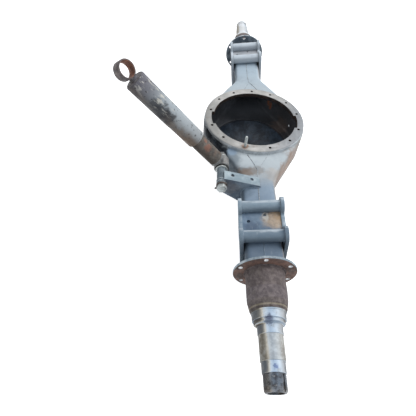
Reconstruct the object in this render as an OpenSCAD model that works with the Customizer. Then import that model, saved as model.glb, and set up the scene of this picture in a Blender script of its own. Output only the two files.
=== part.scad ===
// Pressed banjo axle housing of a truck, with one shock absorber still bolted to it.
// The origin is the centre of the carrier opening, on the machined face of the carrier ring.
// +Z leaves the opening, +Y runs along the axle, and all sizes are millimetres.

/* [Carrier ring] */
// Radius of the opening that takes the final drive carrier
carrier_r = 162; // [152:1:166]
// Width of the ring, from the opening to its outer edge
ring_w = 34; // [30:1:37]
// Thickness of the ring
ring_thk = 16; // [10:1:22]
// Height of the ring face above the axle line
ring_face_h = 76; // [72:1:92]
// Distance of the bolt circle inside the ring's outer edge
bolt_inset = 18; // [12:0.5:20]
// Diameter of the tapped holes
ring_hole_d = 10.4; // [8:0.2:12]
// Depth of the two bearing cap reliefs, cut into the opening's wall
relief_depth = 9; // [5:0.5:9]
// End of each relief towards the far spindle
relief_far_y = 25; // [10:1:30]
// End of each relief towards the near spindle
relief_near_y = 50; // [30:1:51]
// Diameter of the one stud left in the ring
stud_d = 10; // [8:0.25:12]
// Height of the stud above the ring face
stud_h = 46; // [20:1:60]
// Depth of the stud's thread, which its screwed-in end lacks
stud_thread_depth = 0.75; // [0.5:0.05:1]
// Height of the bare neck between the ring face and the stud's thread
stud_neck_h = 3; // [1:0.5:5]

/* [Pressed half shells] */
// Wall of the pressed shells
shell_wall = 9; // [6:0.5:11]
// Width of the bowl's edge outside the carrier ring
bowl_over = 4; // [2:1:16]
// Radius of the bowl's edge on the carrier side
bowl_front_edge_r = 16; // [13:1:20]
// Radius of the bowl's edge on the rear side
bowl_rear_edge_r = 22; // [13:1:24]
// Width of the carrier ring left free inside the shells' opening
shell_open_step = 12; // [10:1:15]
// Depth of the rear cover's seat behind the axle line
rear_face_h = 65; // [58:1:76]
// Distance of the shells' rear opening inside the bowl's outside
rear_open_inset = 42; // [38:1:54]
// Slope of the flare between bowl and arm, seen from the front
flare_angle = 30; // [26:0.5:32]
// Radius where the flare runs into the arm
flare_fillet_r = 130; // [90:5:180]
// Width of the arms
arm_w = 116; // [104:1:122]
// Height of the arms
arm_h = 114; // [100:1:120]
// Radius of the arms' long edges
arm_edge_r = 22; // [14:1:30]
// Distance from the axle's middle to the end of an arm
arm_end = 622; // [612:1:630]
// Angle of the spring seats against the carrier ring
seat_angle = 7.8; // [0:0.1:12]
// Reach of the weld-in filler's tip past the bowl's outside
filler_reach = 72; // [40:1:90]
// Half width gained by the filler per millimetre towards the bowl
filler_slope = 0.5; // [0.4:0.05:0.6]
// Diameter of the level plug hole in the bowl's wall
level_hole_d = 11; // [8:1:22]
// Place of the level plug hole round the bowl, from +X towards +Y
level_hole_angle = 26; // [0:1:27]
// Depth of the level plug hole behind the axle line
level_hole_drop = 22; // [0:1:30]

/* [Rear cover] */
// Thickness of the pressed dome
dome_thk = 8; // [5:0.5:10]
// Thickness of the dome's rim
dome_rim_thk = 8; // [6:0.5:12]
// Lap of the dome's rim over the edge of the shells' rear opening
dome_rim_lap = 16; // [12:1:18]
// Width of the dome's rim outside the dome
dome_rim_w = 10; // [6:1:12]
// Height of the dome over its rim
dome_h = 101; // [80:1:120]

/* [Spindles] */
// Radius of the rough forged barrel
barrel_r = 59; // [56:0.5:64]
// Length of the barrel
barrel_l = 114; // [90:1:130]
// Length of the sloped shoulder after the barrel
shoulder_l = 30; // [20:1:40]
// Radius at the foot of the shoulder
shoulder_r = 49.5; // [48.5:0.5:54]
// Radius of the oil seal seat
seal_r = 47.5; // [46:0.5:48.5]
// Length of the oil seal seat
seal_l = 20; // [14:1:30]
// Radius of the bearing stop collar
collar_r = 43.5; // [40:0.5:45]
// Length of the bearing stop collar
collar_l = 10; // [6:1:18]
// Length of the fillet in front of the inner bearing
root_fillet_l = 4; // [2:0.5:6]
// Radius of the inner bearing seat
inner_seat_r = 35; // [34:0.25:37.5]
// Length of the inner bearing seat
inner_seat_l = 23; // [18:1:56]
// Radius of the relieved middle
waist_r = 33.4; // [33:0.2:34]
// Length of the relieved middle
waist_l = 65; // [30:1:75]
// Radius of the outer bearing seat
outer_seat_r = 31.25; // [30.5:0.25:32.75]
// Length of the outer bearing seat
outer_seat_l = 28; // [22:1:40]
// Radius of the undercut before the thread
undercut_r = 28; // [27:0.1:28.4]
// Length of the undercut before the thread
undercut_l = 2; // [1:0.5:6]
// Outer radius of the bearing nut thread
thread_r = 29.5; // [28.5:0.25:30.25]
// Length of the thread
thread_l = 40; // [30:1:60]
// Chamfer at the spindle's end
tip_chamfer = 3; // [1:0.5:5]
// Radius of the bore for the half shaft
shaft_bore_r = 21; // [18:0.5:23]
// Width of the lock washer's keyway
keyway_w = 8; // [5:0.5:10]
// Depth of the lock washer's keyway
keyway_depth = 4; // [2:0.5:5]
// Place of the keyway round the spindle, from the top towards +X
keyway_angle = 42; // [0:1:90]

/* [Brake flanges] */
// Distance from an arm's end to the middle of its flange
flange_to_arm = 16; // [12:1:38]
// Outer radius of a flange
flange_r = 95.5; // [92:0.5:104]
// Thickness of a flange
flange_thk = 8; // [6:0.5:14]
// Radius of the flange's bolt circle
flange_bolt_r = 83; // [80:0.5:86]
// Diameter of the flange's bolt holes
flange_hole_d = 12.5; // [9:0.5:14]
// Number of bolt holes in a flange
flange_holes = 6; // [4:1:8]

/* [Spring seats] */
// Distance from an arm's end to the middle of its spring seat
seat_to_arm_end = 120.5; // [112:0.5:132]
// Spacing of the clamp bolts along the axle
clamp_spacing = 111; // [100:1:124]
// Outer radius of the clamp sleeves
sleeve_r = 19; // [16.5:0.5:22]
// Radius of the clamp bolt holes
clamp_hole_r = 12; // [9:0.25:13]
// Thickness of the seat plates
plate_thk = 11.5; // [8:0.5:16]
// Gap between an arm's side and a seat plate
plate_gap = 2; // [1:0.5:12]
// Metal left round a clamp sleeve's end on the seat plate
ear_margin = 9; // [6:0.5:14]
// Height of the seat plate between its ears, over the arm's face
plate_mid_h = 13; // [8:1:18]
// Radius between an ear and the plate's middle
ear_fillet_r = 8; // [4:0.5:9]
// Thickness of the pads between the sleeves
pad_thk = 8; // [5:0.5:9]
// Diameter of the holes in the pads
pad_hole_d = 11; // [6:0.5:14]

/* [Shock bracket] */
// Thickness of the bent bracket plate
bracket_thk = 8; // [5:0.5:10]
// Depth of the bracket's top flange along the axle
bracket_depth = 38; // [32:1:46]
// Distance of the bracket's open edge past the corner between flare and arm
bracket_to_flare = 14.5; // [10:0.5:20]
// Slope of the top flange, rising outwards
bracket_rise = 20.5; // [15:0.5:24]
// End of the bracket past the arm's middle
bracket_inner_x = 6; // [0:1:20]
// Reach of the top flange out from the arm's middle
bracket_reach = 112; // [106:1:114]
// Height of the web's outer corner over the axle line
web_corner_h = 40; // [20:1:52]
// Depth of the web's lower end on the arm's side, behind the axle line
web_foot_drop = 20; // [0:1:32]
// Diameter of the holes in the top flange
bracket_hole_d = 12; // [8:0.5:14]
// Distance of the two flange holes from the arm's middle
bracket_hole_x = [20, 84];
// Distance of the shock pin from the arm's middle
pin_x = 122; // [118:1:128]
// Height of the shock pin over the arm's face
pin_over_arm = 32; // [27:1:38]
// Radius of the shock pin
pin_r = 10; // [8:0.25:11]
// Radius of the boss round the pin
boss_r = 16; // [14:0.5:18]
// Length of the boss
boss_l = 68; // [60:1:80]
// Width of the bolt's hexagon across its flats
bolt_af = 30; // [26:1:34]
// Thickness of the bolt's head
bolt_head_h = 14; // [9:0.5:18]
// Thickness of the nut
nut_h = 16; // [10:0.5:20]
// Thickness of the tab washer
tab_washer_thk = 6; // [2:0.5:8]
// Radius of the tab washer
tab_washer_r = 18.5; // [17:0.5:22]
// Thickness of the bush's end washers
bush_washer_thk = 3; // [2:0.5:5]
// Radius of the bush's end washers
bush_washer_r = 21; // [18:0.5:24]

/* [Shock absorber] */
// Angle of the shock over the seat's plane
shock_angle = 57; // [40:1:75]
// Distance between the two eyes
eye_to_eye = 440; // [436:1:450]
// Outer radius of the lower eye
lower_eye_r = 26; // [25:0.5:29]
// Width of the lower eye
lower_eye_w = 42; // [34:1:46]
// Wall of the lower eye
lower_eye_wall = 4; // [3:0.5:6]
// Outer radius of the bush's steel sleeve
bush_sleeve_r = 15; // [13:0.5:17]
// Length of the rubber past each side of the lower eye
rubber_over = 3; // [1:0.5:4]
// Room between the rubber and the end washers
rubber_end_gap = 2; // [1:0.5:4]
// Outer radius of the shock's body tube
body_r = 26; // [24.5:0.5:28]
// Wall of the body tube
body_wall = 2.5; // [1.5:0.25:3]
// Start of the body tube over the lower eye's centre
body_start = 36; // [32:1:40]
// End of the body tube over the lower eye's centre
body_end = 297; // [285:1:299]
// Outer radius of the inner pressure tube
pressure_r = 19; // [18:0.5:20]
// Wall of the pressure tube
pressure_wall = 2; // [1.5:0.25:2.5]
// Radius of the piston rod
rod_r = 9; // [7.5:0.25:10]
// Radius of the rod's end inside the piston
rod_end_r = 6; // [5:0.25:6.5]
// Place of the piston's lower face over the lower eye's centre
piston_at = 192; // [186:1:200]
// Length of the piston
piston_l = 16; // [10:1:20]
// Outer radius of the dust tube's lower length
dust_lower_r = 31; // [29.5:0.25:31.5]
// Outer radius of the dust tube's upper length
dust_upper_r = 32; // [31.5:0.25:35]
// Wall of the dust tube
dust_wall = 1.6; // [1:0.1:2.5]
// Lower end of the dust tube over the lower eye's centre
dust_start = 142; // [138:1:160]
// Step of the dust tube over the lower eye's centre
dust_step = 240; // [230:1:280]
// Thickness of the top cap
cap_thk = 7; // [4:0.5:9]
// Distance from the top cap to the upper eye's centre
cap_to_eye = 34.5; // [28:0.5:38]
// Outer radius of the upper eye
upper_eye_r = 27; // [25:0.5:29]
// Width of the upper eye
upper_eye_w = 27; // [22:1:36]
// Wall of the upper eye
upper_eye_wall = 4.5; // [3:0.5:8]
// Turn of the upper eye about the shock, against the lower eye
eye_turn = 66; // [0:1:90]

/* [Fits] */
// Gap left at the weld seams between pressed pieces
seam_gap = 0.1; // [0.05:0.05:0.3]
// Gap between round pieces that only lie side by side
touch_gap = 0.2; // [0.1:0.05:0.4]
// Radial clearance of pieces that slide or turn in each other
run_gap = 0.05; // [0.02:0.01:0.08]

/* [Hidden] */
$fn = 128;
NEAR = -1;
FAR = 1;
LEFT = -1;
RIGHT = 1;
FRONT = 1;
REAR = -1;

painted_steel = [0.55, 0.62, 0.68];
bare_ring_steel = [0.66, 0.64, 0.62];
rusty_steel = [0.38, 0.25, 0.20];
bright_steel = [0.75, 0.76, 0.77];
dark_forging = [0.32, 0.28, 0.28];
shock_grey = [0.52, 0.53, 0.53];
zinc = [0.72, 0.74, 0.73];
rubber_black = [0.08, 0.08, 0.08];

// Angles of the ring's holes, from +X towards +Y: evenly spaced on the far half, spread on the near half
far_hole_angles = [12, 38, 64, 90, 116, 142, 168];
near_hole_angles = [-19.5, -45.3, -75, -134.7, -160.5];
stud_angle = -105;
stud_core_r = stud_d / 2 - stud_thread_depth;

// Radii round the opening, from the carrier outwards
ring_r = carrier_r + ring_w;
bolt_circle_r = ring_r - bolt_inset;
relief_r = carrier_r + relief_depth;
shell_open_r = carrier_r + shell_open_step;
bowl_r = ring_r + bowl_over;
rear_open_r = bowl_r - rear_open_inset;
dome_rim_r = rear_open_r + dome_rim_lap;
dome_r = dome_rim_r - dome_rim_w;
filler_tip = bowl_r + filler_reach;

// Outline of the housing in plan: bowl circle, straight flare, fillet, arm
tangent_y = bowl_r * sin(flare_angle);
flare_corner_y = (bowl_r - arm_w / 2 * cos(flare_angle)) / sin(flare_angle);
fillet_reach = flare_fillet_r * tan(flare_angle / 2);
arm_start = flare_corner_y + fillet_reach;
fillet_start = flare_corner_y - fillet_reach * cos(flare_angle);
// The sections stay square to the carrier ring up to here, and turn to the seat angle along the flare
ring_margin = 20;
turn_start = ring_r + ring_margin;
bowl_top_h = ring_face_h - ring_thk;

corner_steps = 5;
bowl_steps = 12;
flare_steps = 10;

// Spindle stations, from the axle's middle outwards
shoulder_y = arm_end + barrel_l;
seal_y = shoulder_y + shoulder_l;
collar_y = seal_y + seal_l;
root_fillet_y = collar_y + collar_l;
inner_seat_y = root_fillet_y + root_fillet_l;
waist_y = inner_seat_y + inner_seat_l;
outer_seat_y = waist_y + waist_l;
undercut_y = outer_seat_y + outer_seat_l;
thread_y = undercut_y + undercut_l;
spindle_end = thread_y + thread_l;

// Brake flange and spring seat places
flange_y = arm_end + flange_to_arm;
seat_y = arm_end - seat_to_arm_end;
plate_in = arm_w / 2 + plate_gap;
sleeve_h = arm_h / 2 + sleeve_r + touch_gap;
ear_r = sleeve_r + ear_margin;
plate_half_l = clamp_spacing / 2 + ear_r;
plate_half_h = arm_h / 2 + plate_mid_h;
pad_under_sleeve = sleeve_r + touch_gap - pad_thk;
pad_half_l = clamp_spacing / 2 - sqrt(pow(sleeve_r, 2) - pow(pad_under_sleeve, 2)) - touch_gap;
pad_hole_places = [[-41, 7], [11, 30]];

// Shock pin places along the axle, from the boss towards the middle
bracket_y = flare_corner_y + bracket_to_flare;
pin_h = arm_h / 2 + pin_over_arm;
bracket_web_y = -(bracket_y + bracket_depth);
boss_web_over = 9;
boss_outer_y = bracket_web_y - boss_web_over;
boss_inner_y = boss_outer_y + boss_l;
bush_l = lower_eye_w + 2 * (rubber_over + rubber_end_gap);
bush_y = boss_inner_y + bush_washer_thk;
eye_y = bush_y + bush_l / 2;
bush_end_y = bush_y + bush_l;
nut_y = bush_end_y + bush_washer_thk;
bolt_end_over = 6;
head_y = boss_outer_y - tab_washer_thk;
bolt_corner_r = bolt_af / 2 / cos(30);

// Shock absorber places along its own axis, from the lower eye's centre
base_plug_l = 8;
base_flange_l = 8;
base_neck_l = 10;
plug_step = body_start + base_plug_l;
pressure_start = plug_step + base_flange_l;
seal_thk = 4;
guide_thk = 12;
guide_plug_l = 8;
guide_end = body_end - seal_thk;
guide_start = guide_end - guide_thk;
cap_top = eye_to_eye - cap_to_eye;
cap_bottom = cap_top - cap_thk;
cap_neck_r = 11;
piston_nut_h = 10;
piston_nut_r = 10;
base_cap_r = body_r;
base_cap_start = 15;

function ramp(t) = let (c = min(1, max(0, t))) c * c * (3 - 2 * c);
function mix(a, b, t) = a + (b - a) * t;
function sorted(v) = len(v) < 2 ? v : let (p = v[0], rest = [for (i = [1:1:len(v) - 1]) v[i]])
    concat(sorted([for (x = rest) if (x < p) x]), [p], sorted([for (x = rest) if (x > p) x]));
function arc(c, r, a0, a1, steps) =
    [for (i = [0:steps]) let (a = mix(a0, a1, i / steps)) c + r * [cos(a), sin(a)]];

// Turn a section point about the axle line by the section's own angle, and place it under the ring face
function placed(x, v, y) = let (a = -seat_angle * arm_share(y))
    [x * cos(a) + v * sin(a), y, -x * sin(a) + v * cos(a) - ring_face_h];

// Share of the arm's section at a place along the axle: 0 in the bowl, 1 in the arm
function arm_share(y) = ramp((abs(y) - turn_start) / (arm_start - turn_start));
function half_width(y) = let (a = abs(y))
    a <= tangent_y ? sqrt(pow(bowl_r, 2) - a * a)
    : a <= fillet_start ? (bowl_r - a * sin(flare_angle)) / cos(flare_angle)
    : a < arm_start ? arm_w / 2 + flare_fillet_r - sqrt(pow(flare_fillet_r, 2) - pow(arm_start - a, 2))
    : arm_w / 2;
function front_h(y) = mix(bowl_top_h, arm_h / 2, arm_share(y));
function rear_h(y) = mix(rear_face_h, arm_h / 2, arm_share(y));
function front_edge_r(y) = mix(bowl_front_edge_r, arm_edge_r, arm_share(y));
function rear_edge_r(y) = mix(bowl_rear_edge_r, arm_edge_r, arm_share(y));
function filler_half_w(y) = max(0, (filler_tip - abs(y)) * filler_slope);
function opening_half_w(y, r) = abs(y) < r ? sqrt(r * r - y * y) : 0;
function shell_start(y, r) = max(opening_half_w(y, r), filler_half_w(y)) + seam_gap;
// Where the edge of a round opening of radius r runs into the filler's edge
function opening_meets_filler(r) = let (k = pow(filler_slope, 2))
    (k * filler_tip + sqrt(r * r * (1 + k) - k * pow(filler_tip, 2))) / (1 + k);

// Stations along one half of the axle, closer together where the outline curves
half_stations = sorted(concat(
    [for (i = [0:bowl_steps - 1]) tangent_y * i / bowl_steps * 1.5],
    [opening_meets_filler(shell_open_r), opening_meets_filler(rear_open_r), turn_start, filler_tip],
    [for (i = [0:flare_steps]) mix(turn_start + ring_margin / 2, arm_start, i / flare_steps)],
    [arm_end]));
stations = concat([for (i = [len(half_stations) - 1:-1:1]) -half_stations[i]], half_stations);

// Section of one half shell at a place along the axle: outer wall from the front seam, then the inner wall back
function shell_section(y) = let (
    w = half_width(y),
    f = front_h(y),
    b = -rear_h(y),
    rf = front_edge_r(y),
    rb = rear_edge_r(y),
    cf = [w - rf, f - rf],
    cb = [w - rb, b + rb],
    sf = shell_start(y, shell_open_r),
    sb = shell_start(y, rear_open_r))
    concat([[sf, f]], arc(cf, rf, 90, 0, corner_steps), arc(cb, rb, 0, -90, corner_steps), [[sb, b]],
        [[sb, b + shell_wall]], arc(cb, rb - shell_wall, -90, 0, corner_steps),
        arc(cf, rf - shell_wall, 0, 90, corner_steps), [[sf, f - shell_wall]]);

// Faces of a loft of closed rings, its ends capped from the outer to the inner wall; flip turns them inside out
function turned(face, flip) = flip ? [for (i = [len(face) - 1:-1:0]) face[i]] : face;
function loft_faces(rings, n, flip) = [for (f = concat(
    [for (i = [0:n / 2 - 2]) [i, i + 1, n - 2 - i, n - 1 - i]],
    [for (i = [0:rings - 2], j = [0:n - 1]) [i * n + j, (i + 1) * n + j, (i + 1) * n + (j + 1) % n]],
    [for (i = [0:rings - 2], j = [0:n - 1]) [i * n + j, (i + 1) * n + (j + 1) % n, i * n + (j + 1) % n]],
    [for (i = [0:n / 2 - 2]) [for (j = [n - 1 - i, n - 2 - i, i + 1, i]) (rings - 1) * n + j]]))
    turned(f, flip)];

module at_axle() {
    translate([0, 0, -ring_face_h]) children();
}

module at_arms() {
    at_axle() rotate([0, -seat_angle, 0]) children();
}

// Round bar along the axle at the shock pin
module pin_bar(y0, y1, r) {
    translate([-pin_x, y1, pin_h]) rotate([90, 0, 0]) cylinder(h = y1 - y0, r = r);
}

// Local frame of the shock absorber: origin at the lower eye, +Z towards the upper eye
module at_shock() {
    at_arms() translate([-pin_x, eye_y, pin_h]) rotate([0, shock_angle - 90, 0]) children();
}

module at_shock_top() {
    at_shock() rotate([0, 0, eye_turn]) children();
}

module tube(z0, z1, r_out, r_in) {
    translate([0, 0, z0]) difference() {
        cylinder(h = z1 - z0, r = r_out);
        translate([0, 0, -1]) cylinder(h = z1 - z0 + 2, r = r_in);
    }
}

// Short bar across the shock's axis, for an eye at height z
module eye_bar(z, w, r) {
    translate([0, 0, z]) rotate([90, 0, 0]) cylinder(h = w, r = r, center = true);
}

// Pressed half of the housing, split along the middle of both arms
module housing_half(side) {
    points = [for (y = stations) for (p = shell_section(y)) placed(side * p[0], p[1], y)];
    ring_points = len(shell_section(0));
    color(painted_steel) polyhedron(points, loft_faces(len(stations), ring_points, side == LEFT), convexity = 8);
}

module housing_half_left() {
    housing_half(LEFT);
}

module housing_half_right() {
    difference() {
        housing_half(RIGHT);
        at_axle() translate([0, 0, -level_hole_drop]) rotate([0, 90, level_hole_angle])
            translate([0, 0, bowl_r - 3 * shell_wall]) cylinder(h = 6 * shell_wall, d = level_hole_d);
    }
}

// Triangular filler welded between the half shells beside the bowl
module filler(end, face) {
    start = face == FRONT ? shell_open_r : rear_open_r;
    ys = concat([start], [for (y = half_stations) if (y > start + seam_gap && y < filler_tip - seam_gap) y]);
    last = len(ys);
    function h(y) = face * (face == FRONT ? front_h(y) : rear_h(y));
    function corners(y) = let (w = filler_half_w(y), v = h(y), u = v - face * shell_wall)
        [placed(-w, v, y), placed(w, v, y), placed(w, u, y), placed(-w, u, y)];
    tip = end * filler_tip;
    points = concat([for (y = ys) each corners(end * y)],
        [placed(0, h(tip), tip), placed(0, h(tip) - face * shell_wall, tip)]);
    k = 4 * (last - 1);
    t = 4 * last;
    faces = concat([[0, 1, 2, 3]],
        [for (i = [0:last - 2], j = [0:3]) [4 * i + j, 4 * i + 4 + j, 4 * i + 4 + (j + 1) % 4]],
        [for (i = [0:last - 2], j = [0:3]) [4 * i + j, 4 * i + 4 + (j + 1) % 4, 4 * i + (j + 1) % 4]],
        [[k, t, k + 1], [t + 1, k + 3, k + 2], [k + 1, t, t + 1], [k + 1, t + 1, k + 2],
        [k, k + 3, t + 1], [k, t + 1, t]]);
    color(painted_steel) polyhedron(points, [for (f = faces) turned(f, end * face < 0)]);
}

module at_ring_holes(angles) {
    for (a = angles)
        rotate([0, 0, a]) translate([bolt_circle_r, 0, 0]) children();
}

module carrier_ring() {
    edge = 2;
    color(bare_ring_steel) difference() {
        rotate_extrude() polygon([[carrier_r, -ring_thk], [ring_r, -ring_thk], [ring_r, -edge],
            [ring_r - edge, 0], [carrier_r, 0]]);
        intersection() {
            translate([0, 0, -2 * ring_thk]) cylinder(h = 3 * ring_thk, r = relief_r);
            translate([-ring_r, -relief_near_y, -2 * ring_thk])
                cube([2 * ring_r, relief_near_y + relief_far_y, 3 * ring_thk]);
        }
        translate([0, 0, -2 * ring_thk]) {
            at_ring_holes(concat(far_hole_angles, near_hole_angles)) cylinder(h = 3 * ring_thk, d = ring_hole_d);
            at_ring_holes([stud_angle]) cylinder(h = 3 * ring_thk, r = stud_core_r + seam_gap);
        }
    }
}

module carrier_stud() {
    lead = 2;
    color(zinc) at_ring_holes([stud_angle]) rotate_extrude() polygon([[0, -ring_thk], [stud_core_r, -ring_thk],
        [stud_core_r, stud_neck_h], [stud_d / 2, stud_neck_h], [stud_d / 2, stud_h - lead],
        [stud_d / 2 - lead, stud_h], [0, stud_h]]);
}

// Pressed dome that closes the back of the bowl
module rear_cover() {
    rim_v = -rear_face_h - dome_rim_thk;
    big_r = (pow(dome_r, 2) + pow(dome_h, 2)) / (2 * dome_h);
    centre = [0, rim_v - dome_h + big_r];
    inner_r = big_r - dome_thk;
    outer_a = asin((rim_v - centre[1]) / big_r);
    inner_a = asin((-rear_face_h - centre[1]) / inner_r);
    steps = 24;
    color(painted_steel) at_axle() rotate_extrude() polygon(concat(
        [[dome_rim_r, -rear_face_h], [dome_rim_r, rim_v]],
        arc(centre, big_r, outer_a, -90, steps),
        arc(centre, inner_r, -90, inner_a, steps)));
}

// Forged spindle, butt-welded to the end of an arm and turned for the hub bearings
module spindle(end) {
    color(dark_forging) at_arms() rotate([-90 * end, 0, 0]) difference() {
        rotate_extrude() polygon([[shaft_bore_r, arm_end], [barrel_r, arm_end], [barrel_r, shoulder_y],
            [shoulder_r, seal_y], [seal_r, seal_y], [seal_r, collar_y], [collar_r, collar_y],
            [collar_r, root_fillet_y], [inner_seat_r, inner_seat_y], [inner_seat_r, waist_y], [waist_r, waist_y],
            [waist_r, outer_seat_y], [outer_seat_r, outer_seat_y], [outer_seat_r, undercut_y],
            [undercut_r, undercut_y], [undercut_r, thread_y], [thread_r, thread_y],
            [thread_r, spindle_end - tip_chamfer], [thread_r - tip_chamfer, spindle_end],
            [shaft_bore_r, spindle_end]]);
        rotate([0, 0, -end * (90 - keyway_angle)])
            translate([thread_r - keyway_depth, -keyway_w / 2, thread_y])
            cube([2 * keyway_depth, keyway_w, thread_l + 1]);
    }
}

// Disc welded round the spindle's root, which carries the brake's back plate
module brake_flange(end) {
    color(rusty_steel) at_arms() translate([0, end * flange_y, 0]) rotate([90, 0, 0]) difference() {
        cylinder(h = flange_thk, r = flange_r, center = true);
        cylinder(h = 2 * flange_thk, r = barrel_r + run_gap, center = true);
        for (i = [0:flange_holes - 1])
            rotate([0, 0, 90 + i * 360 / flange_holes]) translate([flange_bolt_r, 0, 0])
                cylinder(h = 2 * flange_thk, d = flange_hole_d, center = true);
    }
}

// Outline of a seat plate along the axle and over its face: an ear round each sleeve, and a dip between them
function plate_quarter() = let (
    ear = [clamp_spacing / 2, sleeve_h],
    fillet_v = plate_half_h + ear_fillet_r,
    reach = ear_r + ear_fillet_r,
    fillet = [ear[0] - sqrt(pow(reach, 2) - pow(fillet_v - ear[1], 2)), fillet_v],
    a = atan2(fillet[1] - ear[1], fillet[0] - ear[0]))
    concat(arc(ear, ear_r, 0, a, 12), arc(fillet, ear_fillet_r, a - 180, -90, 6));
function flipped(v) = [for (i = [len(v) - 1:-1:0]) v[i]];

module seat_plate(end, side) {
    q = plate_quarter();
    upper = concat(q, [for (p = flipped(q)) [-p[0], p[1]]]);
    outline = concat(upper, [for (p = flipped(upper)) [p[0], -p[1]]]);
    inner_x = side == RIGHT ? plate_in : -plate_in - plate_thk;
    color(painted_steel) at_arms() translate([inner_x, end * seat_y, 0]) rotate([90, 0, 90]) difference() {
        linear_extrude(plate_thk) polygon(outline);
        for (y = [-1, 1], z = [-1, 1])
            translate([y * clamp_spacing / 2, z * sleeve_h, -plate_thk])
                cylinder(h = 3 * plate_thk, r = clamp_hole_r);
    }
}

// Sleeve between the two plates of a seat, for one clamp bolt
module clamp_sleeve(end, face, row) {
    color(painted_steel) at_arms()
        translate([-plate_in, end * (seat_y + row * clamp_spacing / 2), face * sleeve_h])
        rotate([0, 90, 0]) tube(0, 2 * plate_in, sleeve_r, clamp_hole_r);
}

// Pad that ties the two plates of a seat to the arm between the sleeves
module seat_pad(end, face) {
    color(painted_steel) at_arms() translate([0, end * seat_y, face * (arm_h + pad_thk) / 2]) difference() {
        cube([2 * plate_in, 2 * pad_half_l, pad_thk], center = true);
        if (face == FRONT)
            for (p = pad_hole_places)
                translate([p[0], p[1], 0]) cylinder(h = 2 * pad_thk, d = pad_hole_d, center = true);
    }
}

// Plate bent along its outer edge: the flange lies on the arm and rises outwards, the web runs down its side
module shock_bracket() {
    rise = tan(bracket_rise);
    weld_gap = 0.5;
    foot_h = front_h(bracket_y) + weld_gap;
    top_h = arm_h / 2 + bracket_thk;
    side_x = -arm_w / 2 - weld_gap;
    outer_top = top_h + (bracket_reach + bracket_inner_x) * rise;
    outer_x = -bracket_reach;
    corner = [-arm_w / 2 + arm_edge_r, arm_h / 2 - arm_edge_r];
    seat_arc = arc(corner, arm_edge_r + weld_gap, 90, 180, 8);
    flange_outline = [[bracket_inner_x, foot_h], [bracket_inner_x, top_h], [outer_x, outer_top],
        [outer_x, outer_top - bracket_thk]];
    web_outline = concat([[bracket_inner_x, foot_h], [bracket_inner_x, top_h], [outer_x, outer_top],
        [-pin_x, pin_h], [-pin_x, web_corner_h], [side_x, -web_foot_drop]], flipped(seat_arc));
    color(painted_steel) at_arms() difference() {
        union() {
            translate([0, bracket_web_y + bracket_depth, 0]) rotate([90, 0, 0])
                linear_extrude(bracket_depth) polygon(flange_outline);
            translate([0, bracket_web_y + bracket_thk, 0]) rotate([90, 0, 0])
                linear_extrude(bracket_thk) polygon(web_outline);
        }
        pin_bar(boss_outer_y - 1, boss_inner_y + 1, boss_r + touch_gap / 4);
        for (x = bracket_hole_x)
            translate([-x, -bracket_y - (bracket_depth - bracket_thk) / 2, top_h + (x + bracket_inner_x) * rise])
                rotate([0, bracket_rise, 0]) cylinder(h = 4 * bracket_thk, d = bracket_hole_d, center = true);
    }
}

// Boss welded into the bracket's outer end, which the shock pin runs through
module shock_boss() {
    color(dark_forging) at_arms() difference() {
        pin_bar(boss_outer_y, boss_inner_y, boss_r);
        pin_bar(boss_outer_y - 1, boss_inner_y + 1, pin_r + run_gap);
    }
}

module shock_bolt() {
    color(zinc) at_arms() {
        pin_bar(head_y, nut_y + nut_h + bolt_end_over, pin_r);
        translate([-pin_x, head_y, pin_h]) rotate([90, 0, 0]) cylinder(h = bolt_head_h, r = bolt_corner_r, $fn = 6);
    }
}

module tab_washer() {
    tab_l = 28;
    tab_w = 22;
    tab_angle = 207;
    color(rusty_steel) at_arms() difference() {
        translate([-pin_x, boss_outer_y, pin_h]) rotate([90, 0, 0]) linear_extrude(tab_washer_thk) union() {
            circle(r = tab_washer_r);
            rotate(tab_angle) polygon([[0, -tab_w / 2], [tab_l, 0], [0, tab_w / 2]]);
        }
        pin_bar(head_y - 1, boss_outer_y + 1, pin_r + run_gap);
    }
}

module shock_nut() {
    color(zinc) at_arms() difference() {
        translate([-pin_x, nut_y + nut_h, pin_h]) rotate([90, 0, 0])
            cylinder(h = nut_h, r = bolt_corner_r, $fn = 6);
        pin_bar(nut_y - 1, nut_y + nut_h + 1, pin_r + run_gap);
    }
}

module bush_washer(y) {
    color(zinc) at_arms() difference() {
        pin_bar(y, y + bush_washer_thk, bush_washer_r);
        pin_bar(y - 1, y + bush_washer_thk + 1, pin_r + run_gap);
    }
}

module bush_sleeve() {
    color(bright_steel) at_arms() difference() {
        pin_bar(bush_y, bush_end_y, bush_sleeve_r);
        pin_bar(bush_y - 1, bush_end_y + 1, pin_r + run_gap);
    }
}

module rubber_bush() {
    color(rubber_black) at_shock() difference() {
        eye_bar(0, lower_eye_w + 2 * rubber_over, lower_eye_r - lower_eye_wall - run_gap);
        eye_bar(0, 2 * bush_l, bush_sleeve_r + run_gap);
    }
}

module lower_eye() {
    color(dark_forging) at_shock() difference() {
        eye_bar(0, lower_eye_w, lower_eye_r);
        eye_bar(0, 2 * lower_eye_w, lower_eye_r - lower_eye_wall);
    }
}

// Forged foot of the shock: saddled on the lower eye and plugged into the body tube
module base_cap() {
    color(dark_forging) at_shock() difference() {
        rotate_extrude() polygon([[0, base_cap_start], [base_cap_r - base_neck_l / 2, base_cap_start],
            [base_cap_r, base_cap_start + base_neck_l], [base_cap_r, body_start],
            [body_r - body_wall - run_gap, body_start], [body_r - body_wall - run_gap, plug_step], [0, plug_step]]);
        eye_bar(0, 2 * lower_eye_w, lower_eye_r);
    }
}

module body_tube() {
    color(shock_grey) at_shock() tube(body_start, body_end, body_r, body_r - body_wall);
}

module base_valve() {
    plug_r = pressure_r - pressure_wall - run_gap;
    color(bright_steel) at_shock() union() {
        translate([0, 0, plug_step]) cylinder(h = base_flange_l, r = pressure_r);
        translate([0, 0, pressure_start]) cylinder(h = base_plug_l, r = plug_r);
    }
}

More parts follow.
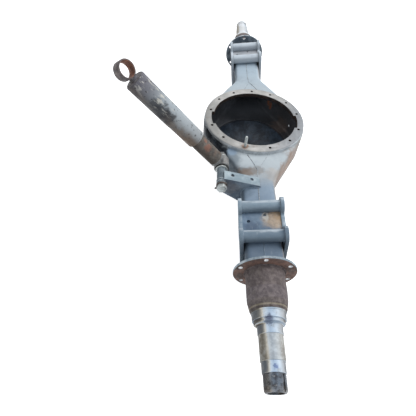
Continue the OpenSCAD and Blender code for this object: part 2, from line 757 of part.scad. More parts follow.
module pressure_tube() {
    color(bright_steel) at_shock() tube(pressure_start, guide_start, pressure_r, pressure_r - pressure_wall);
}

module rod_guide() {
    plug_r = pressure_r - pressure_wall - run_gap;
    color(bright_steel) at_shock() {
        tube(guide_start, guide_end, body_r - body_wall - run_gap, rod_r + run_gap);
        tube(guide_start - guide_plug_l, guide_start, plug_r, rod_r + run_gap);
    }
}

module rod_seal() {
    color(rubber_black) at_shock() tube(guide_end, body_end, body_r - body_wall - run_gap, rod_r + run_gap);
}

module piston() {
    color(bright_steel) at_shock()
        tube(piston_at, piston_at + piston_l, pressure_r - pressure_wall - run_gap, rod_end_r + run_gap);
}

module piston_rod() {
    shoulder = piston_at + piston_l + touch_gap;
    color(bright_steel) at_shock_top() rotate_extrude() polygon([[0, piston_at - piston_nut_h],
        [rod_end_r, piston_at - piston_nut_h], [rod_end_r, shoulder], [rod_r, shoulder], [rod_r, cap_bottom],
        [0, cap_bottom]]);
}

module piston_nut() {
    color(bright_steel) at_shock_top() difference() {
        translate([0, 0, piston_at - piston_nut_h - touch_gap]) cylinder(h = piston_nut_h, r = piston_nut_r, $fn = 6);
        translate([0, 0, piston_at - 2 * piston_nut_h]) cylinder(h = 3 * piston_nut_h, r = rod_end_r + run_gap);
    }
}

// Stepped tube that hangs from the top cap and keeps dirt off the rod
module dust_tube() {
    step_l = 6;
    color(shock_grey) at_shock_top() rotate_extrude() polygon([[dust_lower_r - dust_wall, dust_start],
        [dust_lower_r, dust_start], [dust_lower_r, dust_step - step_l], [dust_upper_r, dust_step],
        [dust_upper_r, cap_bottom], [dust_upper_r - dust_wall, cap_bottom],
        [dust_upper_r - dust_wall, dust_step], [dust_lower_r - dust_wall, dust_step - step_l]]);
}

module top_cap() {
    edge = 3;
    color(shock_grey) at_shock_top() difference() {
        rotate_extrude() polygon([[0, cap_bottom], [dust_upper_r, cap_bottom], [dust_upper_r, cap_top - edge],
            [dust_upper_r - edge, cap_top], [cap_neck_r, cap_top], [cap_neck_r, eye_to_eye - cap_neck_r],
            [0, eye_to_eye - cap_neck_r]]);
        eye_bar(eye_to_eye, 2 * upper_eye_w, upper_eye_r);
    }
}

module upper_eye() {
    color(dark_forging) at_shock_top() difference() {
        eye_bar(eye_to_eye, upper_eye_w, upper_eye_r);
        eye_bar(eye_to_eye, 2 * upper_eye_w, upper_eye_r - upper_eye_wall);
    }
}

housing_half_left();
housing_half_right();
filler(NEAR, FRONT);  // filler_near_front
filler(FAR, FRONT);  // filler_far_front
filler(NEAR, REAR);  // filler_near_rear
filler(FAR, REAR);  // filler_far_rear
carrier_ring();
carrier_stud();
rear_cover();
spindle(NEAR);  // spindle_near
spindle(FAR);  // spindle_far
brake_flange(NEAR);  // brake_flange_near
brake_flange(FAR);  // brake_flange_far
seat_plate(NEAR, LEFT);  // seat_plate_near_left
seat_plate(NEAR, RIGHT);  // seat_plate_near_right
seat_plate(FAR, LEFT);  // seat_plate_far_left
seat_plate(FAR, RIGHT);  // seat_plate_far_right
clamp_sleeve(NEAR, FRONT, -1);  // sleeve_near_front_inner
clamp_sleeve(NEAR, FRONT, 1);  // sleeve_near_front_outer
clamp_sleeve(NEAR, REAR, -1);  // sleeve_near_rear_inner
clamp_sleeve(NEAR, REAR, 1);  // sleeve_near_rear_outer
clamp_sleeve(FAR, FRONT, -1);  // sleeve_far_front_inner
clamp_sleeve(FAR, FRONT, 1);  // sleeve_far_front_outer
clamp_sleeve(FAR, REAR, -1);  // sleeve_far_rear_inner
clamp_sleeve(FAR, REAR, 1);  // sleeve_far_rear_outer
seat_pad(NEAR, FRONT);  // seat_pad_near_front
seat_pad(NEAR, REAR);  // seat_pad_near_rear
seat_pad(FAR, FRONT);  // seat_pad_far_front
seat_pad(FAR, REAR);  // seat_pad_far_rear
shock_bracket();
shock_boss();
shock_bolt();
tab_washer();
shock_nut();
bush_washer(boss_inner_y);  // bush_washer_outer
bush_washer(bush_end_y);  // bush_washer_inner
bush_sleeve();
rubber_bush();
lower_eye();
base_cap();
body_tube();
base_valve();
pressure_tube();
rod_guide();
rod_seal();
piston();
piston_rod();
piston_nut();
dust_tube();
top_cap();
upper_eye();
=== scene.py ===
import bpy
import math
import random
from mathutils import Matrix, Vector


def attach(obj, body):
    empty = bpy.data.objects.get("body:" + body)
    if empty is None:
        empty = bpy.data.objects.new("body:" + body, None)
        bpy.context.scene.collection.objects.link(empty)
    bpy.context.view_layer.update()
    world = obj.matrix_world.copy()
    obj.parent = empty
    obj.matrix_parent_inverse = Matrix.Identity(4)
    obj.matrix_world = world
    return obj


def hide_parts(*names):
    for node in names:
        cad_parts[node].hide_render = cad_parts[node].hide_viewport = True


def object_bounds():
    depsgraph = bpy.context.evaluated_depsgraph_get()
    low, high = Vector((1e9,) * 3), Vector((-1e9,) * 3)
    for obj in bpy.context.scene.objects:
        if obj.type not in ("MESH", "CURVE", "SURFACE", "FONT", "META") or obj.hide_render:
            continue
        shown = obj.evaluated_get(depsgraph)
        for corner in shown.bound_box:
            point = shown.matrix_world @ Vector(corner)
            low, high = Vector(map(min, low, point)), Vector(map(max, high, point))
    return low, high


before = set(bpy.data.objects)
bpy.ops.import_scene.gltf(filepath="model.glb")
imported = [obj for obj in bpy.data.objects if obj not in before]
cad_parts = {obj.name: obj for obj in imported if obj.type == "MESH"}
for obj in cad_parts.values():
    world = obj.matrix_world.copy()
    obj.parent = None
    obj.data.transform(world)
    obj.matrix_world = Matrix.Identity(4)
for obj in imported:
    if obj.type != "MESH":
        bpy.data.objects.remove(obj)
cad_box = [list(corner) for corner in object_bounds()]
bpy.ops.object.select_all(action="DESELECT")

# The camera stands over the near spindle's end, a little to the left of the axle, and looks steeply
# down along it. The axle lies on its dome on a white floor, under an even sky with one soft lamp.
camera_data = bpy.data.cameras.new("camera")
camera_data.sensor_width = 36
camera_data.lens = 28.736
camera = bpy.data.objects.new("camera", camera_data)
camera.location = (-0.2081, -1.0897, 0.8227)
camera.rotation_euler = (math.radians(37.242), math.radians(-2.926), math.radians(0.996))
bpy.context.scene.collection.objects.link(camera)
bpy.context.scene.camera = camera
bpy.context.scene.view_settings.view_transform = "Standard"


def split_by_ray(tree, lighting, seen, output):
    """Show one shader to the eye, to gloss and to glass, and light the object with the other."""
    ray = tree.nodes.new("ShaderNodeLightPath")
    to_eye = ray.outputs["Is Camera Ray"]
    for kind in ("Is Glossy Ray", "Is Transmission Ray"):
        either = tree.nodes.new("ShaderNodeMath")
        either.operation = "MAXIMUM"
        tree.links.new(to_eye, either.inputs[0])
        tree.links.new(ray.outputs[kind], either.inputs[1])
        to_eye = either.outputs[0]
    choice = tree.nodes.new("ShaderNodeMixShader")
    for value, socket in zip((to_eye, lighting.outputs[0], seen.outputs[0]), choice.inputs):
        tree.links.new(value, socket)
    tree.links.new(choice.outputs[0], output.inputs["Surface"])


floor_size, floor_drop = 24, 0.002
bpy.ops.mesh.primitive_plane_add(size=floor_size, location=(0, 0, cad_box[0][2] - floor_drop))
floor = bpy.context.object
floor.name = "floor"
floor_paper = bpy.data.materials.new("white_paper")
floor_paper.use_nodes = True
tree = floor_paper.node_tree
tree.nodes.clear()
paper = tree.nodes.new("ShaderNodeBsdfDiffuse")
paper.inputs["Color"].default_value = (0.82, 0.82, 0.82, 1)
glow = tree.nodes.new("ShaderNodeEmission")
glow.inputs["Strength"].default_value = 0.82
glowing_paper = tree.nodes.new("ShaderNodeAddShader")
tree.links.new(paper.outputs[0], glowing_paper.inputs[0])
tree.links.new(glow.outputs[0], glowing_paper.inputs[1])
split_by_ray(tree, paper, glowing_paper, tree.nodes.new("ShaderNodeOutputMaterial"))
floor.data.materials.append(floor_paper)

sky = bpy.data.worlds.new("even_sky")
sky.use_nodes = True
tree = sky.node_tree
sky_light = tree.nodes["Background"]
sky_light.inputs["Color"].default_value = (0.90, 0.95, 1.0, 1)
sky_light.inputs["Strength"].default_value = 0.55
white = tree.nodes.new("ShaderNodeBackground")
white.inputs["Color"].default_value = (1, 1, 1, 1)
split_by_ray(tree, sky_light, white, tree.nodes["World Output"])
bpy.context.scene.world = sky
bpy.ops.object.light_add(type="SUN", rotation=(math.radians(-18), math.radians(30), 0))
lamp = bpy.context.object
lamp.name = "soft_lamp"
lamp.data.energy = 1.75
lamp.data.angle = math.radians(50)

# The two half shells are pressed from 9 mm plate, twisted a little between bowl and arms, and butt-welded
# along the middle of both arms. They wear a thin coat of grey-blue paint, oily and dark on the inside.
axle_line = -0.076
seat_turn = math.radians(7.8)
arms = Matrix.Translation((0, 0, axle_line)) @ Matrix.Rotation(-seat_turn, 4, "Y")


def only(piece):
    bpy.ops.object.select_all(action="DESELECT")
    piece.select_set(True)
    bpy.context.view_layer.objects.active = piece


def edit_all():
    bpy.ops.object.mode_set(mode="EDIT")
    bpy.ops.mesh.select_all(action="SELECT")


def copy_of(node, name):
    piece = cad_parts[node].copy()
    piece.data = piece.data.copy()
    piece.name = piece.data.name = name
    piece.parent = None
    for key in list(piece.keys()):
        del piece[key]
    piece.data.materials.clear()
    bpy.context.scene.collection.objects.link(piece)
    only(piece)
    edit_all()
    bpy.ops.mesh.customdata_custom_splitnormals_clear()
    bpy.ops.mesh.remove_doubles(threshold=0.00001)
    bpy.ops.object.mode_set(mode="OBJECT")
    return piece


def smooth(piece, angle=35):
    only(piece)
    bpy.ops.object.shade_smooth_by_angle(angle=math.radians(angle))


def two_finishes(piece, outside, inside, is_inside):
    """Give a piece one finish outside and another on the faces that is_inside picks."""
    piece.data.materials.append(outside)
    piece.data.materials.append(inside)
    for face in piece.data.polygons:
        face.material_index = 1 if is_inside(face) else 0


def ink(red, green, blue):
    def straight(c):
        c /= 255
        return c / 12.92 if c <= 0.04045 else ((c + 0.055) / 1.055) ** 2.4
    return straight(red), straight(green), straight(blue)


def new_finish(name, roughness=0.6, metallic=0.0):
    finish = bpy.data.materials.new(name)
    finish.use_nodes = True
    shader = finish.node_tree.nodes["Principled BSDF"]
    shader.inputs["Roughness"].default_value = roughness
    shader.inputs["Metallic"].default_value = metallic
    return finish, finish.node_tree, shader


def put(tree, value, socket):
    """Link a socket's value, or set it when it is a number or a colour."""
    if isinstance(value, bpy.types.NodeSocket):
        tree.links.new(value, socket)
    else:
        socket.default_value = (*value, 1) if socket.type == "RGBA" else value


def math_node(tree, operation, *values):
    node = tree.nodes.new("ShaderNodeMath")
    node.operation = operation
    for value, socket in zip(values, node.inputs):
        put(tree, value, socket)
    return node.outputs[0]


def times(tree, first, second):
    return math_node(tree, "MULTIPLY", first, second)


def vector_node(tree, operation, first, second=(0, 0, 0)):
    node = tree.nodes.new("ShaderNodeVectorMath")
    node.operation = operation
    tree.links.new(first, node.inputs[0])
    node.inputs[1].default_value = second
    return node.outputs


def from_place(tree, place):
    """The way from a place to a point, both in the part's frame."""
    coords = tree.nodes.new("ShaderNodeTexCoord")
    return vector_node(tree, "SUBTRACT", coords.outputs["Object"], place)["Vector"]


def along(tree, direction, start=(0, 0, 0)):
    """Distance of a point from start, measured along a direction."""
    return vector_node(tree, "DOT_PRODUCT", from_place(tree, start), direction)["Value"]


def facing(tree, direction):
    """How far a face looks in a direction, from -1 to 1."""
    surface = tree.nodes.new("ShaderNodeNewGeometry")
    return vector_node(tree, "DOT_PRODUCT", surface.outputs["Normal"], direction)["Value"]


def share(tree, value, low, high, to_low=0.0, to_high=1.0, kind="SMOOTHSTEP"):
    """Where a value stands between low and high, as a number between to_low and to_high."""
    node = tree.nodes.new("ShaderNodeMapRange")
    node.interpolation_type = kind
    put(tree, value, node.inputs["Value"])
    for name, number in (("From Min", low), ("From Max", high), ("To Min", to_low), ("To Max", to_high)):
        node.inputs[name].default_value = number
    return node.outputs["Result"]


def grain(tree, scale, detail=5, rough=0.6, stretch=(1, 1, 1), shift=(0, 0, 0), turn=None):
    """Noise in the part's frame, or in a frame that is turned and drawn out along its own axes."""
    coords = tree.nodes.new("ShaderNodeTexCoord")
    place = tree.nodes.new("ShaderNodeMapping")
    if turn:
        place.vector_type = "TEXTURE"
        place.inputs["Rotation"].default_value = turn
    place.inputs["Scale"].default_value = stretch
    place.inputs["Location"].default_value = shift
    noise = tree.nodes.new("ShaderNodeTexNoise")
    for name, number in (("Scale", scale), ("Detail", detail), ("Roughness", rough)):
        noise.inputs[name].default_value = number
    tree.links.new(coords.outputs["Object"], place.inputs["Vector"])
    tree.links.new(place.outputs["Vector"], noise.inputs["Vector"])
    return noise.outputs["Fac"]


def spots(tree, low, high, *noise, **lay):
    """Spots where the noise is high: none below low, full above high."""
    return share(tree, grain(tree, *noise, **lay), low, high)


def shades(tree, value, *stops, hard=False):
    node = tree.nodes.new("ShaderNodeValToRGB")
    if hard:
        node.color_ramp.interpolation = "CONSTANT"
    marks = node.color_ramp.elements
    while len(marks) < len(stops):
        marks.new(1)
    for mark, (place, colour) in zip(marks, stops):
        mark.position = place
        mark.color = (*colour, 1)
    put(tree, value, node.inputs["Fac"])
    return node.outputs["Color"]


def over(tree, amount, under, top, strength=None):
    """Lay one colour over another, as far as the amount times the strength says."""
    if strength is not None:
        amount = times(tree, amount, strength)
    node = tree.nodes.new("ShaderNodeMix")
    node.data_type = "RGBA"
    put(tree, amount, node.inputs[0])
    put(tree, under, node.inputs[6])
    put(tree, top, node.inputs[7])
    return node.outputs[2]


def mottled(tree, dark, pale, scale, detail=5, rough=0.6, low=0.35, high=0.65, **lay):
    """Two shades of one surface, mixed by noise."""
    return over(tree, spots(tree, low, high, scale, detail, rough, **lay), dark, pale)


def patch(tree, place, reach, ragged=0.5, scale=45, stretch=(1, 1, 1), strength=1.0):
    """A ragged patch round a place: at full strength in its middle, 0 past its reach."""
    way = vector_node(tree, "MULTIPLY", from_place(tree, place), stretch)["Vector"]
    size = vector_node(tree, "LENGTH", way)["Value"]
    noise = grain(tree, scale, 4, 0.65, shift=place)
    uneven = math_node(tree, "MULTIPLY_ADD", noise, 2 * ragged * reach, -ragged * reach)
    return share(tree, math_node(tree, "ADD", size, uneven), 0.45 * reach, reach, strength, 0.0)


def stain(tree, colour, tint, *where, **how):
    """Lay one patch of a tint over a colour."""
    return over(tree, patch(tree, *where, **how), colour, tint)


def coat(tree, shader, colour, scale, low, high, detail=5):
    """Join a colour to a shader, with a roughness that noise varies between low and high."""
    tree.links.new(colour, shader.inputs["Base Color"])
    rough = share(tree, grain(tree, scale, detail), 0.3, 0.7, low, high)
    tree.links.new(rough, shader.inputs["Roughness"])


def bumps(tree, shader, height, strength, distance):
    node = tree.nodes.new("ShaderNodeBump")
    node.inputs["Strength"].default_value = strength
    node.inputs["Distance"].default_value = distance
    put(tree, height, node.inputs["Height"])
    tree.links.new(node.outputs["Normal"], shader.inputs["Normal"])


def painted(name, colour_of):
    """Thin worn paint: the caller's colour with fine dirt, rust freckles and an orange-peel surface."""
    finish, tree, shader = new_finish(name)
    colour = colour_of(tree)
    colour = over(tree, spots(tree, 0.44, 0.72, 13, 6, 0.62), colour, ink(104, 117, 130), 0.30)
    scuffs = spots(tree, 0.60, 0.78, 34, 6, 0.7, stretch=(1, 0.35, 1), shift=(3, 1, 2))
    colour = over(tree, scuffs, colour, ink(203, 212, 217), 0.42)
    freckles = spots(tree, 0.67, 0.74, 150, 5, 0.7, shift=(7, 2, 5))
    colour = over(tree, freckles, colour, ink(92, 66, 52), 0.75)
    coat(tree, shader, colour, 60, 0.5, 0.78, detail=4)
    lightness = tree.nodes.new("ShaderNodeRGBToBW")
    tree.links.new(colour, lightness.inputs[0])
    gloss = share(tree, lightness.outputs[0], 0.01, 0.16, 0.04, 0.5)
    tree.links.new(gloss, shader.inputs["Specular IOR Level"])
    peel = times(tree, grain(tree, 38, 4), 2.0)
    bumps(tree, shader, math_node(tree, "ADD", grain(tree, 320, 4), peel), 0.25, 0.0012)
    return finish


def shell_colour(tree):
    axle = share(tree, along(tree, (0, 1, 0)), -0.64, 0.64, kind="LINEAR")
    colour = shades(tree, axle, (0.00, ink(112, 131, 152)), (0.14, ink(128, 147, 168)),
                    (0.225, ink(140, 158, 176)), (0.262, ink(172, 180, 186)), (0.33, ink(192, 201, 206)),
                    (0.50, ink(176, 178, 180)), (0.67, ink(184, 195, 202)), (0.78, ink(180, 196, 208)),
                    (1.0, ink(150, 166, 181)))
    right_side = share(tree, facing(tree, (1, 0, -0.15)), 0.30, 0.85)
    colour = over(tree, right_side, colour, mottled(tree, ink(136, 128, 122), ink(170, 163, 157), 26), 0.85)
    brown_streak = ink(150, 121, 102)
    for place, reach in (((0.128, -0.179, -0.067), 0.052), ((0.092, -0.246, -0.066), 0.044),
                         ((0.152, -0.115, -0.075), 0.040)):
        colour = stain(tree, colour, brown_streak, place, reach, 0.6, 60, (1, 0.8, 0.75), 0.8)
    # Painted shade: faces looking left, away from the lamp, are darkened, near black beside the bowl and
    # grey-blue along the arms.
    shaded_left_side = share(tree, facing(tree, (-1, 0, -0.2)), 0.25, 0.75)
    past_bowl = share(tree, math_node(tree, "ABSOLUTE", along(tree, (0, 1, 0))), 0.22, 0.36)
    left_shade_colour = over(tree, past_bowl, ink(34, 38, 44), ink(74, 86, 98))
    colour = over(tree, shaded_left_side, colour, left_shade_colour, 0.88)
    # Painted shade: faces looking down are darkened.
    shaded_under_side = share(tree, facing(tree, (0, 0, -1)), 0.3, 0.8)
    colour = over(tree, shaded_under_side, colour, ink(82, 88, 94), 0.7)
    half_shade = ink(92, 107, 118)
    colour = stain(tree, colour, half_shade, (-0.112, -0.222, -0.022), 0.062, 0.3, 40, (1, 0.9, 1), 0.7)
    deep_shade = ink(20, 24, 30)
    for place, reach in (((-0.148, -0.143, -0.032), 0.052), ((-0.178, -0.085, -0.026), 0.046),
                         ((-0.122, -0.184, -0.024), 0.034)):
        colour = stain(tree, colour, deep_shade, place, reach, 0.25, 60, (1, 1, 1), 0.97)
    blue_mark, foot_dirt, foot_dust = ink(146, 168, 190), ink(100, 102, 104), ink(128, 111, 98)
    seam_dust, edge_dust, soot = ink(146, 144, 142), ink(190, 180, 170), ink(78, 94, 110)
    for mark in ((blue_mark, (-0.092, -0.186, -0.016), 0.026, 0.4, 90, (1.1, 0.9, 1), 0.9),
                 (foot_dirt, (-0.071, -0.274, -0.027), 0.036, 0.6, 70, (0.8, 1.5, 0.7), 0.75),
                 (foot_dust, (-0.036, -0.280, -0.020), 0.040, 0.6, 70, (0.75, 1.7, 0.7), 0.85),
                 (seam_dust, (-0.004, -0.272, -0.018), 0.026, 0.6, 70, (0.8, 1, 0.7), 0.7),
                 (edge_dust, (0.052, -0.292, -0.022), 0.042, 0.6, 60, (1, 1, 0.7), 0.5)):
        colour = stain(tree, colour, *mark)
    for place, reach in (((-0.052, -0.372, -0.026), 0.030), ((-0.040, -0.602, -0.024), 0.044),
                         ((0.020, -0.602, -0.016), 0.044)):
        colour = stain(tree, colour, soot, place, reach, 0.5, 50, (0.9, 1, 0.7), 0.35)
    return colour


shell_paint = painted("worn_grey_blue_paint", shell_colour)

oily_inside, tree, shader = new_finish("oily_inside")
dark = mottled(tree, ink(58, 61, 66), ink(90, 92, 97), 12, 6, 0.65, high=0.7)
# Painted light: the far inner wall, which lies in the shade of the ring, is lightened.
lit_far_wall = share(tree, along(tree, (0, 1, 0)), 0.15, 0.24)
dark = over(tree, lit_far_wall, dark, ink(122, 126, 134), 0.8)
brown_side = share(tree, along(tree, (1, 0.35, 0)), 0.10, 0.22)
dark = over(tree, brown_side, dark, ink(96, 86, 82), 0.25)
smear, drip = ink(116, 98, 88), ink(196, 120, 78)
dark = stain(tree, dark, smear, (0.143, 0.115, -0.130), 0.050, 0.9, 60, (1, 1, 0.9), 0.5)
for place, reach in (((0.090, 0.218, -0.074), 0.021), ((0.103, 0.210, -0.088), 0.016)):
    dark = stain(tree, dark, drip, place, reach, 0.9, 160, (2.0, 1, 0.7), 0.8)
coat(tree, shader, dark, 40, 0.38, 0.7)
bumps(tree, shader, grain(tree, 160), 0.3, 0.0015)


def looks_inwards(face):
    """A face of the inner wall looks back at the axle line."""
    away = Vector((face.center.x, 0, face.center.z - axle_line))
    return face.normal.dot(away) < -0.001


for side in ("left", "right"):
    half = copy_of("housing_half_" + side, "half_shell_" + side)
    two_finishes(half, shell_paint, oily_inside, looks_inwards)
    smooth(half, 32)
    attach(half, "housing")
    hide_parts("housing_half_" + side)

# Four flat triangles of plate close the corners between bowl and arms. Each is let in flush between the
# half shells and welded along both slopes, and one bead runs on along the middle of each arm.
turn_start, arm_start = 0.216, 0.3344
bowl_front, bowl_rear, arm_half_h = 0.060, 0.065, 0.057
filler_tip, filler_slope = 0.272, 0.5
ring_edge, seam_end = 0.198, 0.621
ends, sides = (("near", -1), ("far", 1)), (("left", -1), ("right", 1))


def on_shell(x, y, front):
    """A point of the shells' front or rear face at x across and y along the axle."""
    t = min(1, max(0, (abs(y) - turn_start) / (arm_start - turn_start)))
    part_of_arm = t * t * (3 - 2 * t)
    bowl_h = bowl_front if front else -bowl_rear
    height = bowl_h + ((arm_half_h if front else -arm_half_h) - bowl_h) * part_of_arm
    turn = Matrix.Translation((0, 0, axle_line)) @ Matrix.Rotation(-seat_turn * part_of_arm, 4, "Y")
    return turn @ Vector((x, y, height))


weld_metal, tree, shader = new_finish("weld_metal", metallic=0.15)
seam = mottled(tree, ink(118, 124, 130), ink(186, 194, 199), 70)
seam = over(tree, spots(tree, 0.52, 0.70, 30, shift=(2, 5, 1)), seam, ink(104, 88, 78), 0.65)
painted_over = share(tree, along(tree, (0, -1, 0)), 0.42, 0.47)
seam = over(tree, painted_over, seam, ink(116, 135, 154), 0.8)
coat(tree, shader, seam, 90, 0.42, 0.7)
bumps(tree, shader, grain(tree, 420, 4), 0.35, 0.0008)

ripple, steps_per_ripple = 0.0042, 4
bead_luck = random.Random(7)


def weld_bead(name, path, thickness, closed=False, finish=weld_metal):
    """A rippled bead of weld along a path."""
    corners = list(path) + ([path[0]] if closed else [])
    points = []
    for a, b in zip(corners, corners[1:]):
        count = max(1, round((b - a).length / (ripple / steps_per_ripple)))
        points += [a.lerp(b, i / count) for i in range(count)]
    if not closed:
        points.append(corners[-1])
    line = bpy.data.curves.new(name, "CURVE")
    line.dimensions = "3D"
    line.bevel_depth = thickness
    line.bevel_resolution = 1
    line.use_fill_caps = True
    run = line.splines.new("POLY")
    run.points.add(len(points) - 1)
    swell = 1.0
    for i, (point, place) in enumerate(zip(run.points, points)):
        if i % steps_per_ripple == 0:
            swell = 1 + bead_luck.uniform(-0.16, 0.16)
        point.co = (*place, 1)
        point.radius = swell * (0.86 + 0.16 * math.cos(2 * math.pi * i / steps_per_ripple))
    run.use_cyclic_u = closed
    bead = bpy.data.objects.new(name, line)
    bpy.context.scene.collection.objects.link(bead)
    only(bead)
    bpy.ops.object.convert(target="MESH")
    bead = bpy.context.object
    edit_all()
    bpy.ops.mesh.remove_doubles(threshold=0.00001)
    bpy.ops.mesh.normals_make_consistent(inside=False)
    bpy.ops.object.mode_set(mode="OBJECT")
    bead.data.materials.clear()
    bead.data.materials.append(finish)
    smooth(bead, 60)
    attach(bead, "housing")


for end_name, end in ends:
    for face_name, front in (("front", True), ("rear", False)):
        corner = end_name + "_" + face_name
        filler = copy_of("filler_" + corner, "corner_plate_" + corner)
        two_finishes(filler, shell_paint, oily_inside,
                     lambda face: looks_inwards(face) or face.normal.y * end < -0.5)
        smooth(filler, 30)
        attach(filler, "housing")
        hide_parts("filler_" + corner)
        for side_name, side in sides:
            bold = front and end * side == 1
            slope = []
            for step in range(9):
                y = ring_edge + (filler_tip - ring_edge) * step / 8
                slope.append(on_shell(side * (filler_tip - y) * filler_slope, end * y, front))
            weld_bead("corner_weld_" + corner + "_" + side_name, slope, 0.0018 if bold else 0.0009)
        seam_path = [on_shell(0, end * (filler_tip + step * 0.01), front) for step in range(7)]
        seam_path.append(on_shell(0, end * seam_end, front))
        weld_bead("arm_seam_" + corner, seam_path, 0.0019 if end < 0 else 0.0014)

# The carrier ring is a 16 mm steel ring, machined flat on top and welded on round the bowl's opening.
# Its face is bare and dulled, with stains round the tapped holes and two reliefs for the bearing caps.
ring = copy_of("carrier_ring", "carrier_ring_dressed")


def rounded(piece, width):
    """Dissolve a piece's flat facets, round its sharp edges and shade it smooth."""
    only(piece)
    edit_all()
    bpy.ops.mesh.dissolve_limited(angle_limit=math.radians(0.4))
    bpy.ops.object.mode_set(mode="OBJECT")
    edge = piece.modifiers.new("edge", "BEVEL")
    edge.width = width
    edge.segments = 2
    edge.limit_method = "ANGLE"
    edge.angle_limit = math.radians(40)
    bpy.ops.object.modifier_apply(modifier="edge")
    smooth(piece)


rounded(ring, 0.0007)
ring_steel, tree, shader = new_finish("dulled_ring_steel", metallic=0.25)
face_colour = mottled(tree, ink(164, 163, 160), ink(190, 188, 185), 16, 6, high=0.68)
blue_side = share(tree, along(tree, (1, -0.3, 0)), 0.02, 0.20)
face_colour = over(tree, blue_side, face_colour, ink(126, 132, 140), 0.75)
dark_side = share(tree, along(tree, (-1, -0.25, 0)), 0.07, 0.19)
face_colour = over(tree, dark_side, face_colour, ink(128, 128, 126), 0.6)
stains = spots(tree, 0.55, 0.74, 45, 5, 0.65, shift=(4, 1, 0))
face_colour = over(tree, stains, face_colour, ink(128, 116, 106), 0.6)
on_top = share(tree, facing(tree, (0, 0, 1)), 0.25, 0.75)
# Painted light: the ring's side wall is paler than its face, to lift the shade it lies in.
lightened_wall_colour = mottled(tree, ink(172, 178, 182), ink(206, 211, 215), 40, low=0.4)
face_colour = over(tree, on_top, lightened_wall_colour, face_colour)
shaded_wall = patch(tree, (-0.172, -0.095, -0.010), 0.105, 0.2, 40, (1, 1, 1), 0.9)
on_wall = math_node(tree, "SUBTRACT", 1.0, on_top)
face_colour = over(tree, shaded_wall, face_colour, ink(50, 54, 58), on_wall)
stud_rust = ink(126, 92, 70)
face_colour = stain(tree, face_colour, stud_rust, (-0.046, -0.172, 0.0), 0.018, 0.6, 120, strength=0.8)
coat(tree, shader, face_colour, 70, 0.42, 0.66)
bumps(tree, shader, grain(tree, 260), 0.18, 0.0008)
ring_bore, tree, shader = new_finish("stained_ring_bore", metallic=0.2)
coat(tree, shader, mottled(tree, ink(34, 31, 31), ink(74, 60, 52), 40), 70, 0.45, 0.7)
ring_top_edge, opening_r = -0.0015, 0.1725
bolt_circle_r, hole_r, hole_facet = 0.178, 0.0055, 0.0002


def in_bore_or_hole(face):
    """Walls of the ring's opening and of its tapped holes, below their rounded edges."""
    outwards = Vector((face.center.x, face.center.y, 0))
    deep = face.center.z < ring_top_edge and abs(face.normal.z) < 0.5
    hole_wall = face.area < hole_facet and abs(outwards.length - bolt_circle_r) < hole_r
    bore_wall = outwards.length < opening_r and face.normal.dot(outwards) < 0
    return deep and (hole_wall or bore_wall)


two_finishes(ring, ring_steel, ring_bore, in_bore_or_hole)
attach(ring, "housing")
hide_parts("carrier_ring")
x_axis, y_axis, z_axis = Vector((1, 0, 0)), Vector((0, 1, 0)), Vector((0, 0, 1))


def weld_ring(name, centre, first, second, radius, steps, thickness, place=Matrix.Identity(4),
              finish=weld_metal):
    """A closed bead of weld round a centre, in the plane of two axes."""
    turns = [2 * math.pi * i / steps for i in range(steps)]
    spokes = [radius * (math.cos(a) * first + math.sin(a) * second) for a in turns]
    weld_bead(name, [place @ (Vector(centre) + spoke) for spoke in spokes], thickness, True, finish)


ring_weld_r, ring_weld_z, rim_steps = 0.1966, -0.0168, 180
weld_ring("ring_weld", (0, 0, ring_weld_z), x_axis, y_axis, ring_weld_r, rim_steps, 0.0026,
          finish=shell_paint)

# One threaded stud is left in the ring: a plated steel rod, screwed into a tapped hole by its thinner foot.
# It is turned here from a saw-toothed outline, one tooth for each turn of the thread above its bare neck.
stud_angle, stud_r, stud_top, stud_foot, pitch = math.radians(-105), 0.005, 0.046, -0.016, 0.0015
stud_core_r, stud_neck = 0.00425, 0.003


def turned(name, outline, steps):
    """Spin a closed outline of (radius, height) points about the Z axis."""
    bpy.ops.object.select_all(action="DESELECT")
    bpy.ops.mesh.primitive_circle_add(vertices=len(outline), radius=1)
    piece = bpy.context.object
    piece.name = piece.data.name = name
    for point, (radius, height) in zip(piece.data.vertices, outline):
        point.co = (radius, 0, height)
    edit_all()
    bpy.ops.mesh.spin(steps=steps, angle=2 * math.pi, center=(0, 0, 0), axis=(0, 0, 1))
    bpy.ops.mesh.select_all(action="SELECT")
    bpy.ops.mesh.remove_doubles(threshold=0.000005)
    bpy.ops.mesh.normals_make_consistent(inside=False)
    bpy.ops.object.mode_set(mode="OBJECT")
    return piece


def set_down(piece, place):
    """Move a piece to its place and leave its object at the origin."""
    only(piece)
    piece.matrix_world = place
    bpy.ops.object.transform_apply(location=True, rotation=True, scale=True)


def thread(radius, low, high, step, depth):
    """The outline of a thread between two heights: a root and a flat crest for each turn."""
    outline = []
    for i in range(int((high - low) / step)):
        outline += [(radius - depth, low + i * step), (radius, low + (i + 0.35) * step),
                    (radius, low + (i + 0.65) * step)]
    return outline


stud_outline = [(0.0002, stud_foot), (stud_core_r, stud_foot), (stud_core_r, stud_neck)]
stud_outline += thread(stud_r, stud_neck, stud_top - 0.002, pitch, 0.0007)
stud_outline += [(stud_r - 0.0005, stud_top - 0.0016), (stud_r - 0.0018, stud_top), (0.0002, stud_top)]
stud = turned("ring_stud", stud_outline, 32)
smooth(stud, 30)
stud_place = (bolt_circle_r * math.cos(stud_angle), bolt_circle_r * math.sin(stud_angle), 0)
set_down(stud, Matrix.Translation(stud_place))
plated, tree, shader = new_finish("dull_plating", metallic=0.55)
plate_colour = mottled(tree, ink(150, 156, 157), ink(196, 202, 201), 60)
dirt = spots(tree, 0.52, 0.68, 110, shift=(1, 8, 3))
coat(tree, shader, over(tree, dirt, plate_colour, ink(112, 104, 98), 0.6), 120, 0.32, 0.6)
bumps(tree, shader, grain(tree, 500, 4), 0.2, 0.0005)
stud.data.materials.append(plated)
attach(stud, "housing")
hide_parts("carrier_stud")

